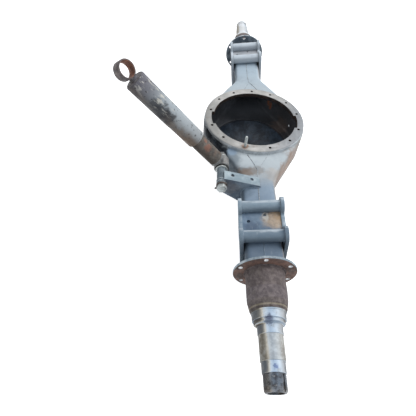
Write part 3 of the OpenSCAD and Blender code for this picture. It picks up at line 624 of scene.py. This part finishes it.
# The rear cover is a dome pressed from 8 mm plate and welded round its rim behind the bowl.
# It is painted outside, and inside it is stained blue-black by old oil.
cover = copy_of("rear_cover", "rear_dome")
dome_inside, tree, shader = new_finish("oil_stained_dome")
pool = mottled(tree, ink(42, 52, 64), ink(80, 94, 110), 22, 6, 0.7, 0.38, 0.66)
# Painted highlights: pale specks on the dark pool stand in for glints off wet oil.
painted_oil_glints = spots(tree, 0.60, 0.72, 90, 5, 0.7, shift=(2, 2, 9))
coat(tree, shader, over(tree, painted_oil_glints, pool, ink(112, 118, 126), 0.5), 30, 0.3, 0.6)
bumps(tree, shader, grain(tree, 140), 0.25, 0.001)
two_finishes(cover, shell_paint, dome_inside, lambda face: face.normal.z > 0.02)
smooth(cover, 32)
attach(cover, "housing")
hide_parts("rear_cover")
for weld_name, weld_r, weld_z, thickness, finish in (
        ("dome_weld", 0.1748, -0.1415, 0.003, shell_paint),
        ("dome_inside_weld", 0.158, -0.132, 0.0024, oily_inside)):
    weld_ring(weld_name, (0, 0, weld_z), x_axis, y_axis, weld_r, rim_steps, thickness, finish=finish)

# The spindles are hollow forgings, butt-welded to the arms. The barrel is left rough from the forge, and
# the oil seal seat, bearing seats and the nut's thread are turned and ground bright.
arm_end, shaft_bore_r = 0.622, 0.021
barrel_r, shoulder_y, shoulder_r, seal_y, seal_r = 0.059, 0.736, 0.0495, 0.766, 0.0475
collar_y, collar_r, root_y, inner_y, inner_r = 0.786, 0.0435, 0.796, 0.800, 0.035
waist_y, waist_r, outer_y, outer_r = 0.823, 0.0334, 0.888, 0.03125
undercut_y, undercut_r, thread_y, thread_r, tip_y = 0.916, 0.028, 0.918, 0.0295, 0.958
thread_end = tip_y - 0.003
spindle_outline = [
    (barrel_r, arm_end), (barrel_r, 0.650), (barrel_r - 0.0004, 0.676), (barrel_r, 0.700),
    (barrel_r - 0.0003, 0.724), (barrel_r - 0.0012, 0.7325), (barrel_r - 0.0026, 0.7395),
    (0.0548, 0.7475), (0.0541, 0.7500), (0.0530, 0.7512), (0.0529, 0.7532), (0.0533, 0.7545),
    (0.0520, 0.7580), (0.0508, 0.7612), (shoulder_r + 0.0004, 0.7625), (shoulder_r, seal_y - 0.0012),
    (shoulder_r - 0.0006, seal_y), (seal_r + 0.0003, seal_y), (seal_r, seal_y + 0.001),
    (seal_r, collar_y - 0.001), (seal_r - 0.001, collar_y), (collar_r + 0.0005, collar_y),
    (collar_r, collar_y + 0.001), (collar_r, root_y - 0.002), (collar_r - 0.002, root_y),
    (inner_r + 0.0035, root_y + 0.0006), (inner_r + 0.0012, root_y + 0.002), (inner_r, inner_y),
    (inner_r, waist_y - 0.0008), (inner_r - 0.0006, waist_y), (waist_r, waist_y + 0.0006),
    (waist_r, outer_y - 0.0008), (outer_r + 0.0006, outer_y), (outer_r, outer_y + 0.0008),
    (outer_r, undercut_y - 0.001), (outer_r - 0.001, undercut_y), (undercut_r, undercut_y + 0.0004),
    (undercut_r, thread_y - 0.0002)]
spindle_outline += thread(thread_r, thread_y, thread_end - 0.0005, 0.002, 0.0009)
spindle_outline += [
    (thread_r - 0.0012, thread_end), (thread_r - 0.0024, tip_y - 0.001), (thread_r - 0.0034, tip_y),
    (shaft_bore_r + 0.0012, tip_y), (shaft_bore_r, tip_y - 0.0012), (shaft_bore_r, arm_end)]


def spindle_finish(name, end):
    """Bands of forged, ground and threaded steel along a spindle, with painted light and shade from one
    side, and stained.
    """
    near = end < 0
    finish, tree, shader = new_finish(name)
    reach = share(tree, times(tree, along(tree, (0, 1, 0)), end), arm_end, tip_y, kind="LINEAR")

    def at(y):
        return (y - arm_end) / (tip_y - arm_end)
    # The bands at 0.7505 and 0.7625 are painted highlights on the shoulder's ridge and foot; the others are
    # the steel's own bands.
    bands = ((arm_end, ink(104, 95, 95)), (0.700, ink(112, 104, 108)), (shoulder_y, ink(104, 96, 94)),
             (0.7505, ink(158, 148, 128)), (0.755, ink(86, 78, 74)), (0.7625, ink(190, 186, 172)),
             (seal_y, ink(200, 210, 219)), (collar_y, ink(132, 128, 122)), (root_y, ink(92, 87, 82)),
             (inner_y, ink(196, 208, 222)), (waist_y, ink(172, 170, 160)), (0.862, ink(186, 188, 186)),
             (outer_y, ink(206, 220, 236)), (undercut_y, ink(86, 90, 99)), (0.944, ink(104, 96, 92)))
    colour = shades(tree, reach, *[(at(y), tint) for y, tint in bands], hard=True)
    rough_part = math_node(tree, "LESS_THAN", reach, at(0.762))
    smooth_part = math_node(tree, "SUBTRACT", 1.0, rough_part)
    threaded = math_node(tree, "GREATER_THAN", reach, at(undercut_y))
    scale_marks = mottled(tree, ink(70, 62, 62), ink(146, 135, 132), 70, 6, 0.7, high=0.68)
    colour = over(tree, rough_part, colour, scale_marks, 0.5)
    # Painted light and shade on the ground lands: by how far a face looks right, the near spindle is dark
    # on its left, has cream and bluish-white painted highlights left of the middle and darkens at its right
    # edge; the far one is painted pale nearly all round with a dark left edge.
    noise = grain(tree, 38, 5, 0.65, stretch=(1, 0.4, 1), shift=(1, 4, 2))
    wander = math_node(tree, "MULTIPLY_ADD", noise, 0.4, -0.2)
    across = math_node(tree, "ADD", facing(tree, (0.974, 0, 0.225)), wander)
    across = share(tree, across, -1.0, 1.0, kind="LINEAR")
    if near:
        tint = shades(tree, across, (0.06, ink(18, 17, 16)), (0.18, ink(38, 36, 33)),
                      (0.26, ink(112, 106, 95)), (0.33, ink(222, 214, 198)), (0.41, ink(210, 224, 238)),
                      (0.52, ink(166, 186, 208)), (0.64, ink(164, 182, 200)), (0.78, ink(192, 203, 213)),
                      (0.90, ink(176, 178, 180)), (0.98, ink(76, 76, 77)))
        amount = math_node(tree, "MULTIPLY_ADD", threaded, -0.5, 0.86)
    else:
        tint = shades(tree, across, (0.06, ink(92, 80, 66)), (0.20, ink(150, 138, 118)),
                      (0.30, ink(236, 238, 240)), (0.62, ink(240, 243, 246)), (0.82, ink(204, 211, 218)),
                      (0.98, ink(140, 146, 152)))
        amount = 0.88
    colour = over(tree, smooth_part, colour, tint, amount)
    on_waist = times(tree, math_node(tree, "GREATER_THAN", reach, at(waist_y)),
                     math_node(tree, "LESS_THAN", reach, at(outer_y)))
    straw = mottled(tree, ink(132, 122, 104), ink(202, 200, 192), 55, 5, 0.7, 0.36, 0.66, shift=(6, 3, 2))
    colour = over(tree, on_waist, colour, straw, 0.42 if near else 0.1)
    blotches = spots(tree, 0.52, 0.70, 62, 5, 0.7, stretch=(1, 0.6, 1), shift=(2, 7, 5))
    colour = over(tree, blotches, colour, ink(126, 118, 108), 0.4 if near else 0.1)
    if near:
        grime = spots(tree, 0.40, 0.62, 85, 6, 0.7, shift=(4, 2, 8))
        colour = over(tree, times(tree, grime, threaded), colour, ink(58, 54, 53), 0.75)
        chips = spots(tree, 0.63, 0.70, 140, 4, shift=(8, 5, 2))
        colour = over(tree, times(tree, chips, threaded), colour, ink(196, 194, 192), 0.6)
    specks = spots(tree, 0.62, 0.72, 130, 4, shift=(3, 9, 1))
    colour = over(tree, times(tree, specks, smooth_part), colour, ink(120, 112, 100), 0.5)
    if near:
        grey_stain, blue_stain, drawn_out = ink(84, 92, 116), ink(84, 104, 152), (1, 1, 0.6)
        for mark in ((grey_stain, (-0.0107, -0.7945, -0.0349), 0.0150, 0.9, 150, drawn_out, 0.7),
                     (grey_stain, (-0.0100, -0.787, -0.030), 0.0110, 0.9, 150, drawn_out, 0.7),
                     (blue_stain, (-0.0011, -0.903, -0.0448), 0.0085, 0.9, 170, drawn_out, 0.75)):
            colour = stain(tree, colour, *mark)
    tree.links.new(colour, shader.inputs["Base Color"])
    tree.links.new(times(tree, smooth_part, 0.15), shader.inputs["Metallic"])
    shader.inputs["Specular IOR Level"].default_value = 0.3
    worn = share(tree, grain(tree, 80, 4), 0.3, 0.7, 0.34, 0.56)
    tree.links.new(math_node(tree, "MULTIPLY_ADD", rough_part, 0.35, worn), shader.inputs["Roughness"])
    pits = math_node(tree, "ADD", grain(tree, 190, 5, 0.65), grain(tree, 60, 4))
    depth = math_node(tree, "MULTIPLY_ADD", rough_part, 0.92, 0.08)
    bumps(tree, shader, times(tree, pits, depth), 0.55, 0.0016)
    return finish


forge_skin = bpy.data.textures.new("forge_skin", "CLOUDS")
forge_skin.noise_scale = 0.012
forge_skin.noise_depth = 3
forged_to, bore_clear = 0.7335, 0.03
keyway_w, keyway_depth, keyway_l, keyway_turn = 0.008, 0.004, 0.05, math.radians(42)
root_weld_r, root_weld_y, round_steps = 0.0605, 0.6240, 64
spindle_steel = {}
for end_name, end in ends:
    spindle = turned("spindle_turned_" + end_name, spindle_outline, 112)
    rough_zone = spindle.vertex_groups.new(name="forged")
    rough_zone.add([v.index for v in spindle.data.vertices
                    if v.co.z < forged_to and v.co.to_2d().length > bore_clear], 1.0, "REPLACE")
    skin = spindle.modifiers.new("skin", "DISPLACE")
    skin.texture = forge_skin
    skin.texture_coords = "LOCAL"
    skin.vertex_group = "forged"
    skin.mid_level = 0.62
    skin.strength = 0.0016
    only(spindle)
    bpy.ops.object.modifier_apply(modifier="skin")
    bpy.ops.mesh.primitive_cube_add(size=1)
    cutter = bpy.context.object
    cutter.scale = (keyway_w, 2 * keyway_depth, keyway_l)
    cutter.location = (0, thread_r, thread_y + keyway_l / 2)
    bpy.ops.object.transform_apply(location=True, rotation=True, scale=True)
    cutter.data.transform(Matrix.Rotation(end * keyway_turn, 4, "Z"))
    slot_cut = spindle.modifiers.new("keyway", "BOOLEAN")
    slot_cut.operation = "DIFFERENCE"
    slot_cut.object = cutter
    only(spindle)
    bpy.ops.object.modifier_apply(modifier="keyway")
    bpy.data.objects.remove(cutter)
    if end < 0:
        lay = Matrix.Rotation(math.radians(90), 4, "X")
    else:
        lay = Matrix.Rotation(math.radians(180), 4, "Y") @ Matrix.Rotation(math.radians(-90), 4, "X")
    set_down(spindle, arms @ lay)
    smooth(spindle, 32)
    spindle.data.materials.clear()
    spindle_steel[end_name] = spindle_finish("spindle_steel_" + end_name, end)
    spindle.data.materials.append(spindle_steel[end_name])
    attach(spindle, "housing")
    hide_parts("spindle_" + end_name)
    weld_ring("spindle_root_weld_" + end_name, (0, end * root_weld_y, 0), x_axis, z_axis, root_weld_r,
              round_steps, 0.0032, arms)

# The brake flanges are 8 mm discs, cut out, drilled with six holes and welded round the spindles' roots.
# Paint is left on the rim and the inner side, the outer faces have rusted brown, and the holes are bright.
fresh_steel, tree, shader = new_finish("fresh_drilled_steel", metallic=0.1, roughness=0.45)
fresh = mottled(tree, ink(236, 238, 240), ink(252, 252, 252), 140, 4)
tree.links.new(fresh, shader.inputs["Base Color"])
holes_from, holes_to = 0.072, 0.0935


def drilled(face):
    """Walls of the six holes, which stand between two radii of the disc."""
    spot = arms.inverted() @ face.center
    return abs(face.normal.y) < 0.5 and holes_from < math.hypot(spot.x, spot.z) < holes_to


for end_name, end in ends:
    flange = copy_of("brake_flange_" + end_name, "brake_disc_" + end_name)
    rounded(flange, 0.0009)
    finish, tree, shader = new_finish("rusted_flange_" + end_name)
    rust = mottled(tree, ink(74, 62, 58), ink(130, 100, 88), 34, 6, 0.66, 0.34, 0.68)
    scabs = spots(tree, 0.56, 0.72, 120, 5, 0.7, shift=(5, 2, 1))
    rust = over(tree, scabs, rust, ink(84, 82, 84), 0.6)
    inner_side = share(tree, times(tree, facing(tree, (0, 1, 0)), -end), 0.4, 0.8)
    colour = over(tree, inner_side, rust, mottled(tree, ink(72, 82, 92), ink(118, 128, 137), 40))
    rim = share(tree, math_node(tree, "ABSOLUTE", facing(tree, (0, 1, 0))), 0.35, 0.75, 1.0, 0.0)
    pale_rim = ink(226, 231, 235) if end > 0 else ink(196, 206, 212)
    colour = over(tree, rim, colour, mottled(tree, ink(128, 142, 152), pale_rim, 46))
    coat(tree, shader, colour, 80, 0.6, 0.9)
    bumps(tree, shader, grain(tree, 240, 5, 0.7), 0.45, 0.0012)
    two_finishes(flange, finish, fresh_steel, drilled)
    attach(flange, "housing")
    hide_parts("brake_flange_" + end_name)
    for weld_name, weld_y, weld_r, finish in (("outer", 0.6425, 0.0607, spindle_steel[end_name]),
                                              ("inner", 0.6335, 0.0605, weld_metal)):
        weld_ring("flange_weld_" + end_name + "_" + weld_name, (0, end * weld_y, 0), x_axis, z_axis,
                  weld_r, round_steps, 0.0028, arms, finish)

# Each spring seat is a cage of two 11.5 mm plates with four thick sleeves between their ears, for the
# spring's clamp bolts. The plates are flame-cut, the sleeves cut from tube, and all is welded and painted.
seat_y, clamp_half, sleeve_h, sleeve_weld_x, sleeve_weld_r = 0.5015, 0.0555, 0.0762, 0.0596, 0.0195


def seat_colour(tree):
    colour = mottled(tree, ink(116, 136, 153), ink(150, 168, 181), 18, 6, 0.6, 0.34, 0.68,
                     stretch=(0.4, 1, 1))
    far_end = share(tree, along(tree, (0, 1, 0)), -0.2, 0.3)
    colour = over(tree, far_end, colour, ink(214, 223, 231), 0.92)
    outer_row = share(tree, along(tree, (0, -1, 0)), 0.525, 0.545)
    colour = over(tree, outer_row, colour, ink(88, 106, 124), 0.6)
    # Painted highlight: pale streaks along the top of each sleeve's round.
    crest = share(tree, facing(tree, (0, 0.35, 0.94)), 0.86, 0.99)
    streaky = spots(tree, 0.42, 0.62, 30, 5, 0.65, stretch=(0.3, 1, 1), shift=(4, 4, 4))
    colour = over(tree, times(tree, crest, streaky), colour, ink(208, 217, 224), 0.75)
    # Painted light: faces looking right, towards the lamp, are lightened.
    right_side = share(tree, facing(tree, (1, 0, 0)), 0.3, 0.8)
    painted_light_right = over(tree, far_end, ink(204, 212, 217), ink(190, 198, 204))
    colour = over(tree, right_side, colour, painted_light_right, 0.75)
    # Painted shade: faces looking left are darkened, near black at the far end.
    shaded_left_side = share(tree, facing(tree, (-1, 0, 0)), 0.4, 0.85)
    left_shade_colour = over(tree, far_end, ink(118, 128, 138), ink(34, 38, 43))
    left_shade_amount = math_node(tree, "MULTIPLY_ADD", far_end, 0.26, 0.7)
    colour = over(tree, shaded_left_side, colour, left_shade_colour, left_shade_amount)
    # Painted shade: faces looking down and towards the near end are darkened.
    near_low_shade = share(tree, facing(tree, (0, -1, -0.3)), 0.35, 0.9)
    colour = over(tree, near_low_shade, colour, ink(92, 102, 112), 0.4)
    # Painted shade: side-looking faces next to the arm at the near seat's outer end are darkened nearly
    # black, where the gap between plate and arm lies.
    across = (math.cos(seat_turn), 0, math.sin(seat_turn))
    from_middle = math_node(tree, "ABSOLUTE", along(tree, across, (0, 0, axle_line)))
    between = share(tree, from_middle, 0.0630, 0.0605)
    pocket_shade = times(tree, between, share(tree, along(tree, (0, -1, 0)), 0.562, 0.580))
    cheek = share(tree, math_node(tree, "ABSOLUTE", facing(tree, across)), 0.5, 0.8)
    return over(tree, times(tree, pocket_shade, cheek), colour, ink(44, 39, 38), 0.9)


seat_paint = painted("seat_paint", seat_colour)
for end_name, end in ends:
    for side_name in ("left", "right"):
        cheek_name = end_name + "_" + side_name
        plate = copy_of("seat_plate_" + cheek_name, "spring_cheek_" + cheek_name)
        rounded(plate, 0.0012)
        plate.data.materials.append(seat_paint)
        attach(plate, "housing")
        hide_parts("seat_plate_" + cheek_name)
    for face_name, face_sign in (("front", 1), ("rear", -1)):
        for row_name, row in (("inner", -1), ("outer", 1)):
            corner = end_name + "_" + face_name + "_" + row_name
            sleeve = copy_of("sleeve_" + corner, "clamp_tube_" + corner)
            smooth(sleeve, 32)
            sleeve.data.materials.append(seat_paint)
            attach(sleeve, "housing")
            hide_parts("sleeve_" + corner)
            for side_name, side in sides:
                foot = (side * sleeve_weld_x, end * (seat_y + row * clamp_half), face_sign * sleeve_h)
                weld_ring("sleeve_weld_" + corner + "_" + side_name, foot, y_axis, z_axis, sleeve_weld_r,
                          40, 0.0017, arms)

# A flat pad ties the two plates to the arm between the sleeves. The near front one has lost its paint on
# the right half and rusted tan, and two dowel holes are drilled through each front pad.


def plain_pad(tree):
    return mottled(tree, ink(96, 118, 142), ink(126, 146, 166), 24, 6, high=0.68)


def far_pad(tree):
    return over(tree, 0.8, plain_pad(tree), ink(196, 196, 198))


def rusted_pad(tree):
    tan = mottled(tree, ink(146, 130, 118), ink(190, 170, 148), 60, 6)
    colour = stain(tree, plain_pad(tree), tan, (0.031, -0.490, -0.006), 0.050, 0.4, 60, (1, 1, 0.2))
    orange, pale, grime = ink(184, 156, 122), ink(200, 197, 190), ink(78, 96, 120)
    for mark in ((orange, (0.048, -0.474, -0.002), 0.026, 0.7, 90, (1, 0.9, 0.3), 0.8),
                 (pale, (0.004, -0.480, -0.008), 0.015, 0.8, 120, (1.2, 0.7, 0.3), 0.75),
                 (grime, (-0.040, -0.513, -0.014), 0.024, 0.7, 80, (0.8, 1, 0.3), 0.75)):
        colour = stain(tree, colour, *mark)
    return colour


for pad_name, pad_colour in (("near_front", rusted_pad), ("near_rear", plain_pad),
                             ("far_front", far_pad), ("far_rear", far_pad)):
    pad = copy_of("seat_pad_" + pad_name, "tie_pad_" + pad_name)
    rounded(pad, 0.0008)
    pad.data.materials.append(painted("pad_paint_" + pad_name, pad_colour))
    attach(pad, "housing")
    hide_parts("seat_pad_" + pad_name)

# The shock bracket is bent from 8 mm plate: its top flange lies on the arm and rises outwards, and its web
# stands against the arm's side. It is welded along both, and painted with the housing.
bracket = copy_of("shock_bracket", "bent_bracket")
rounded(bracket, 0.0012)


def bracket_colour(tree):
    # Painted light and shade: faces looking up get a paler mottle, and the upright web a darker one.
    top = mottled(tree, ink(136, 154, 164), ink(178, 192, 199), 22, 6, 0.6, 0.36, 0.66)
    web = mottled(tree, ink(88, 103, 120), ink(136, 150, 163), 24, 6, 0.7, 0.36, 0.66)
    colour = over(tree, share(tree, facing(tree, (0, 0, 1)), 0.35, 0.75), web, top)
    low_rust = ink(98, 90, 86)
    return stain(tree, colour, low_rust, (-0.105, -0.352, -0.030), 0.045, 0.8, 50, (1, 1, 1), 0.45)


bracket.data.materials.append(painted("bracket_paint", bracket_colour))
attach(bracket, "housing")
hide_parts("shock_bracket")
flange_tip_x, flange_foot_h = 0.0070, 0.0585
flange_foot = [Vector((flange_tip_x, y, flange_foot_h)) for y in (-0.316, -0.351)]
weld_bead("bracket_end_weld", [arms @ point for point in flange_foot], 0.0026, finish=shell_paint)
web_x, web_y, corner_x, corner_h, corner_r = -0.0590, -0.3528, -0.036, 0.035, 0.0228
web_foot = [Vector((web_x, web_y, -0.016)), Vector((web_x, web_y, 0.032))]
for step in range(9):
    a = math.radians(180 - 90 * step / 8)
    web_foot.append(Vector((corner_x + corner_r * math.cos(a), web_y, corner_h + corner_r * math.sin(a))))
web_foot.append(Vector((0.004, web_y, 0.0580)))
weld_bead("bracket_web_weld", [arms @ point for point in web_foot], 0.0024, finish=shell_paint)

# The shock pin is a plated hexagon bolt through a boss of round bar, which is welded into the bracket.
# A tab washer lies under its head, and a nut draws the shock's bush up between two washers.
dark_steel, tree, shader = new_finish("dark_rusted_steel", metallic=0.2)
skin_colour = mottled(tree, ink(96, 97, 98), ink(150, 151, 150), 40, 6, 0.66, high=0.68)
rust_marks = spots(tree, 0.52, 0.70, 75, 5, 0.7, shift=(3, 3, 1))
coat(tree, shader, over(tree, rust_marks, skin_colour, ink(112, 90, 78), 0.5), 90, 0.5, 0.82)
bumps(tree, shader, grain(tree, 260, 5, 0.7), 0.4, 0.001)
brown_rust, tree, shader = new_finish("brown_rust")
rust_colour = mottled(tree, ink(56, 52, 50), ink(98, 86, 80), 60, 6, 0.7, high=0.68)
coat(tree, shader, rust_colour, 90, 0.65, 0.92)
bumps(tree, shader, grain(tree, 300, 5, 0.7), 0.5, 0.001)


def boss_colour(tree):
    return mottled(tree, ink(84, 95, 103), ink(128, 139, 145), 40, 6, 0.66, 0.36, 0.66)


boss_paint = painted("boss_paint", boss_colour)
for node, name, finish, edge, slot_name in (
        ("shock_boss", "pin_boss", boss_paint, 0.0008, "dark_forging"),
        ("shock_bolt", "pin_bolt", plated, 0.0014, "zinc_steel"),
        ("tab_washer", "pin_tab_washer", brown_rust, 0.0006, "dark_forging"),
        ("shock_nut", "pin_nut", dark_steel, 0.0012, "zinc_steel"),
        ("bush_washer_outer", "bush_disc_outer", plated, 0.0005, "zinc_steel"),
        ("bush_washer_inner", "bush_disc_inner", plated, 0.0005, "zinc_steel")):
    piece = copy_of(node, name)
    rounded(piece, edge)
    piece.data.materials.append(finish)
    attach(piece, "housing")
    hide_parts(node)
pin_x, pin_h, boss_weld_r = -0.122, 0.089, 0.0166
for weld_name, weld_y in (("outer", -0.3528), ("inner", -0.3432)):
    weld_ring("boss_weld_" + weld_name, (pin_x, weld_y, pin_h), x_axis, z_axis, boss_weld_r, 36, 0.0019,
              arms)

# The lower eye is a short forged tube with a rubber bush on a steel sleeve, so the shock can swing on its
# pin. The forged foot above it is welded on, and plugs the body tube.
rubber, tree, shader = new_finish("aged_rubber")
coat(tree, shader, mottled(tree, ink(30, 30, 31), ink(62, 60, 58), 60, low=0.4, high=0.7), 90, 0.6, 0.85)
bumps(tree, shader, grain(tree, 300, 4), 0.25, 0.0008)
ground_steel, tree, shader = new_finish("ground_steel", metallic=0.9)
steel = mottled(tree, ink(168, 172, 176), ink(206, 210, 214), 50, stretch=(1, 0.2, 1))
coat(tree, shader, steel, 120, 0.2, 0.38)
for node, finish in (("bush_sleeve", ground_steel), ("rubber_bush", rubber), ("base_valve", ground_steel),
                     ("pressure_tube", ground_steel), ("rod_guide", ground_steel), ("rod_seal", rubber),
                     ("piston", ground_steel), ("piston_rod", ground_steel), ("piston_nut", ground_steel)):
    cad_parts[node].data.materials.clear()
    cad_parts[node].data.materials.append(finish)
for node, name, edge in (("lower_eye", "lower_eye_ring", 0.0008), ("base_cap", "shock_foot", 0.0012)):
    piece = copy_of(node, name)
    rounded(piece, edge)
    piece.data.materials.append(dark_steel)
    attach(piece, "shock_lower")
    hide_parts(node)

# The shock's body is a plain drawn tube, brown with dust and rust where it leaves the dust tube.
# It is closed by the foot at its lower end and by the rod guide and seal at the other.
pivot = Vector((-0.13295, -0.264, -0.00438))
shock_axis = Vector((-0.65342, 0, 0.75700))
upper_side = Vector((0.75700, 0, 0.65342))
body = copy_of("body_tube", "shock_body")
smooth(body, 32)
body_skin, tree, shader = new_finish("dusty_tube")
shader.inputs["Specular IOR Level"].default_value = 0.25
dusty = mottled(tree, ink(84, 80, 76), ink(128, 122, 115), 34, 6, 0.66, 0.34, 0.68)
brown = spots(tree, 0.48, 0.70, 46, 5, 0.7, shift=(2, 6, 1))
dusty = over(tree, brown, dusty, ink(116, 96, 84), 0.6)
# Painted shade with brown dust: the side looking down is darkened.
low_side_shade = share(tree, facing(tree, upper_side), -0.25, 0.5, 0.75, 0.0)
dusty = over(tree, low_side_shade, dusty, ink(60, 52, 46))
for place, reach in (((-0.1844, -0.2821, 0.0837), 0.017), ((-0.192, -0.2703, 0.1026), 0.010)):
    dusty = stain(tree, dusty, ink(160, 112, 94), place, reach, 0.8, 90, strength=0.6)
coat(tree, shader, dusty, 80, 0.55, 0.85)
bumps(tree, shader, grain(tree, 180, 5, 0.7), 0.4, 0.0012)
body.data.materials.append(body_skin)
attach(body, "shock_lower")
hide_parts("body_tube")

# The dust tube hangs from the top cap and slides over the body. It is thin rolled sheet with a step pressed
# in, painted grey, stained dark in a band and streaked with dried oil; its upper side has a painted
# highlight and its underside painted shade over brown dust.
dust_finish, tree, shader = new_finish("stained_shock_paint")
shader.inputs["Specular IOR Level"].default_value = 0.25
height = share(tree, along(tree, shock_axis, pivot), 0.142, 0.406, kind="LINEAR")
colour = shades(tree, height, (0.0, ink(122, 112, 104)), (0.10, ink(142, 137, 132)),
                (0.30, ink(164, 167, 168)), (0.52, ink(158, 164, 168)), (0.72, ink(148, 154, 159)),
                (0.86, ink(126, 127, 134)), (1.0, ink(108, 106, 114)))
upwards = facing(tree, upper_side)
# Painted highlight: the upper side of the tube's lower part is lightened.
painted_highlight_side = times(tree, share(tree, upwards, 0.05, 0.8), share(tree, height, 0.80, 0.55))
colour = over(tree, painted_highlight_side, colour, ink(186, 195, 201), 0.6)
# Painted shade with brown dust: the side looking down is darkened to a mottled brown.
top_light = share(tree, upwards, -0.30, 0.55)
underside_shade_and_dust = mottled(tree, ink(54, 51, 48), ink(92, 82, 74), 30)
colour = over(tree, math_node(tree, "SUBTRACT", 1.0, top_light), colour, underside_shade_and_dust, 0.75)
for place, reach, strength in (((-0.3103, -0.2960, 0.2015), 0.031, 0.9),
                               ((-0.3225, -0.2950, 0.2240), 0.030, 0.8),
                               ((-0.3380, -0.2940, 0.2480), 0.026, 0.75)):
    colour = stain(tree, colour, ink(54, 55, 59), place, reach, 0.9, 60, (1, 1, 1), strength)
lean = (0, math.atan2(shock_axis.x, shock_axis.z), 0)
runs = spots(tree, 0.54, 0.62, 95, 5, 0.65, stretch=(1, 1, 3.0), shift=(2, 0, 6), turn=lean)
scuffed = times(tree, share(tree, height, 0.40, 0.62), top_light)
colour = over(tree, times(tree, runs, scuffed), colour, ink(214, 211, 202), 0.8)
dots = spots(tree, 0.62, 0.68, 120, 3, 0.5, shift=(9, 1, 4))
colour = over(tree, dots, colour, ink(70, 70, 72), 0.75)
rust_place = pivot + shock_axis * 0.165 + Vector((-0.02, -0.014, -0.016))
colour = stain(tree, colour, ink(124, 100, 84), rust_place, 0.05, 0.7, 50, (1, 1, 1), 0.6)
low_edge = times(tree, share(tree, upwards, -0.05, 0.85, 1.0, 0.0), share(tree, height, 0.62, 0.28))
edge_dust = times(tree, low_edge, spots(tree, 0.34, 0.6, 55, 6, 0.7, shift=(5, 1, 3)))
colour = over(tree, edge_dust, colour, ink(124, 110, 98), 0.7)
coat(tree, shader, colour, 70, 0.45, 0.78)
bumps(tree, shader, math_node(tree, "ADD", grain(tree, 150, 5, 0.65), grain(tree, 24, 3)), 0.3, 0.0014)
for node, name, edge in (("dust_tube", "shock_dust_tube", 0.0005), ("top_cap", "shock_top_cap", 0.001)):
    piece = copy_of(node, name)
    rounded(piece, edge)
    piece.data.materials.append(dust_finish)
    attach(piece, "shock_upper")
    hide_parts(node)

# The upper eye is a ring of thick tube, welded to the neck of the top cap. Its bush is gone, so its bore is
# bare and rusted red, and its outside is dark with old paint.
eye = copy_of("upper_eye", "upper_eye_ring")
rounded(eye, 0.0009)
eye_rust, tree, shader = new_finish("red_rusted_bore")
coat(tree, shader, mottled(tree, ink(96, 62, 50), ink(150, 104, 84), 60, 6, 0.68, 0.34, 0.68), 90, 0.6, 0.9)
bumps(tree, shader, grain(tree, 260, 5, 0.7), 0.5, 0.001)
eye_outside, tree, shader = new_finish("dark_eye_paint", metallic=0.1)
outside = mottled(tree, ink(74, 68, 70), ink(118, 108, 106), 55, 6, 0.68, 0.34, 0.68)
chips = spots(tree, 0.56, 0.70, 120, 5, 0.7, shift=(1, 1, 7))
coat(tree, shader, over(tree, chips, outside, ink(146, 134, 126), 0.6), 90, 0.5, 0.8)
bumps(tree, shader, grain(tree, 260, 5, 0.7), 0.4, 0.001)
eye_centre = pivot + shock_axis * 0.440
eye_bore_r, eye_wall = 0.0225, 0.0045
eye_turn, eye_lean = math.radians(66), math.radians(57 - 90)
eye_axis = Matrix.Rotation(-seat_turn, 3, "Y") @ (
    Matrix.Rotation(eye_lean, 3, "Y") @ Vector((-math.sin(eye_turn), math.cos(eye_turn), 0)))


def in_eye(face):
    """The bore's wall looks back at the eye's own axis."""
    spoke = face.center - eye_centre
    spoke -= eye_axis * spoke.dot(eye_axis)
    return face.normal.dot(spoke) < 0 and spoke.length < eye_bore_r + eye_wall / 2


two_finishes(eye, eye_outside, eye_rust, in_eye)
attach(eye, "shock_upper")
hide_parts("upper_eye")
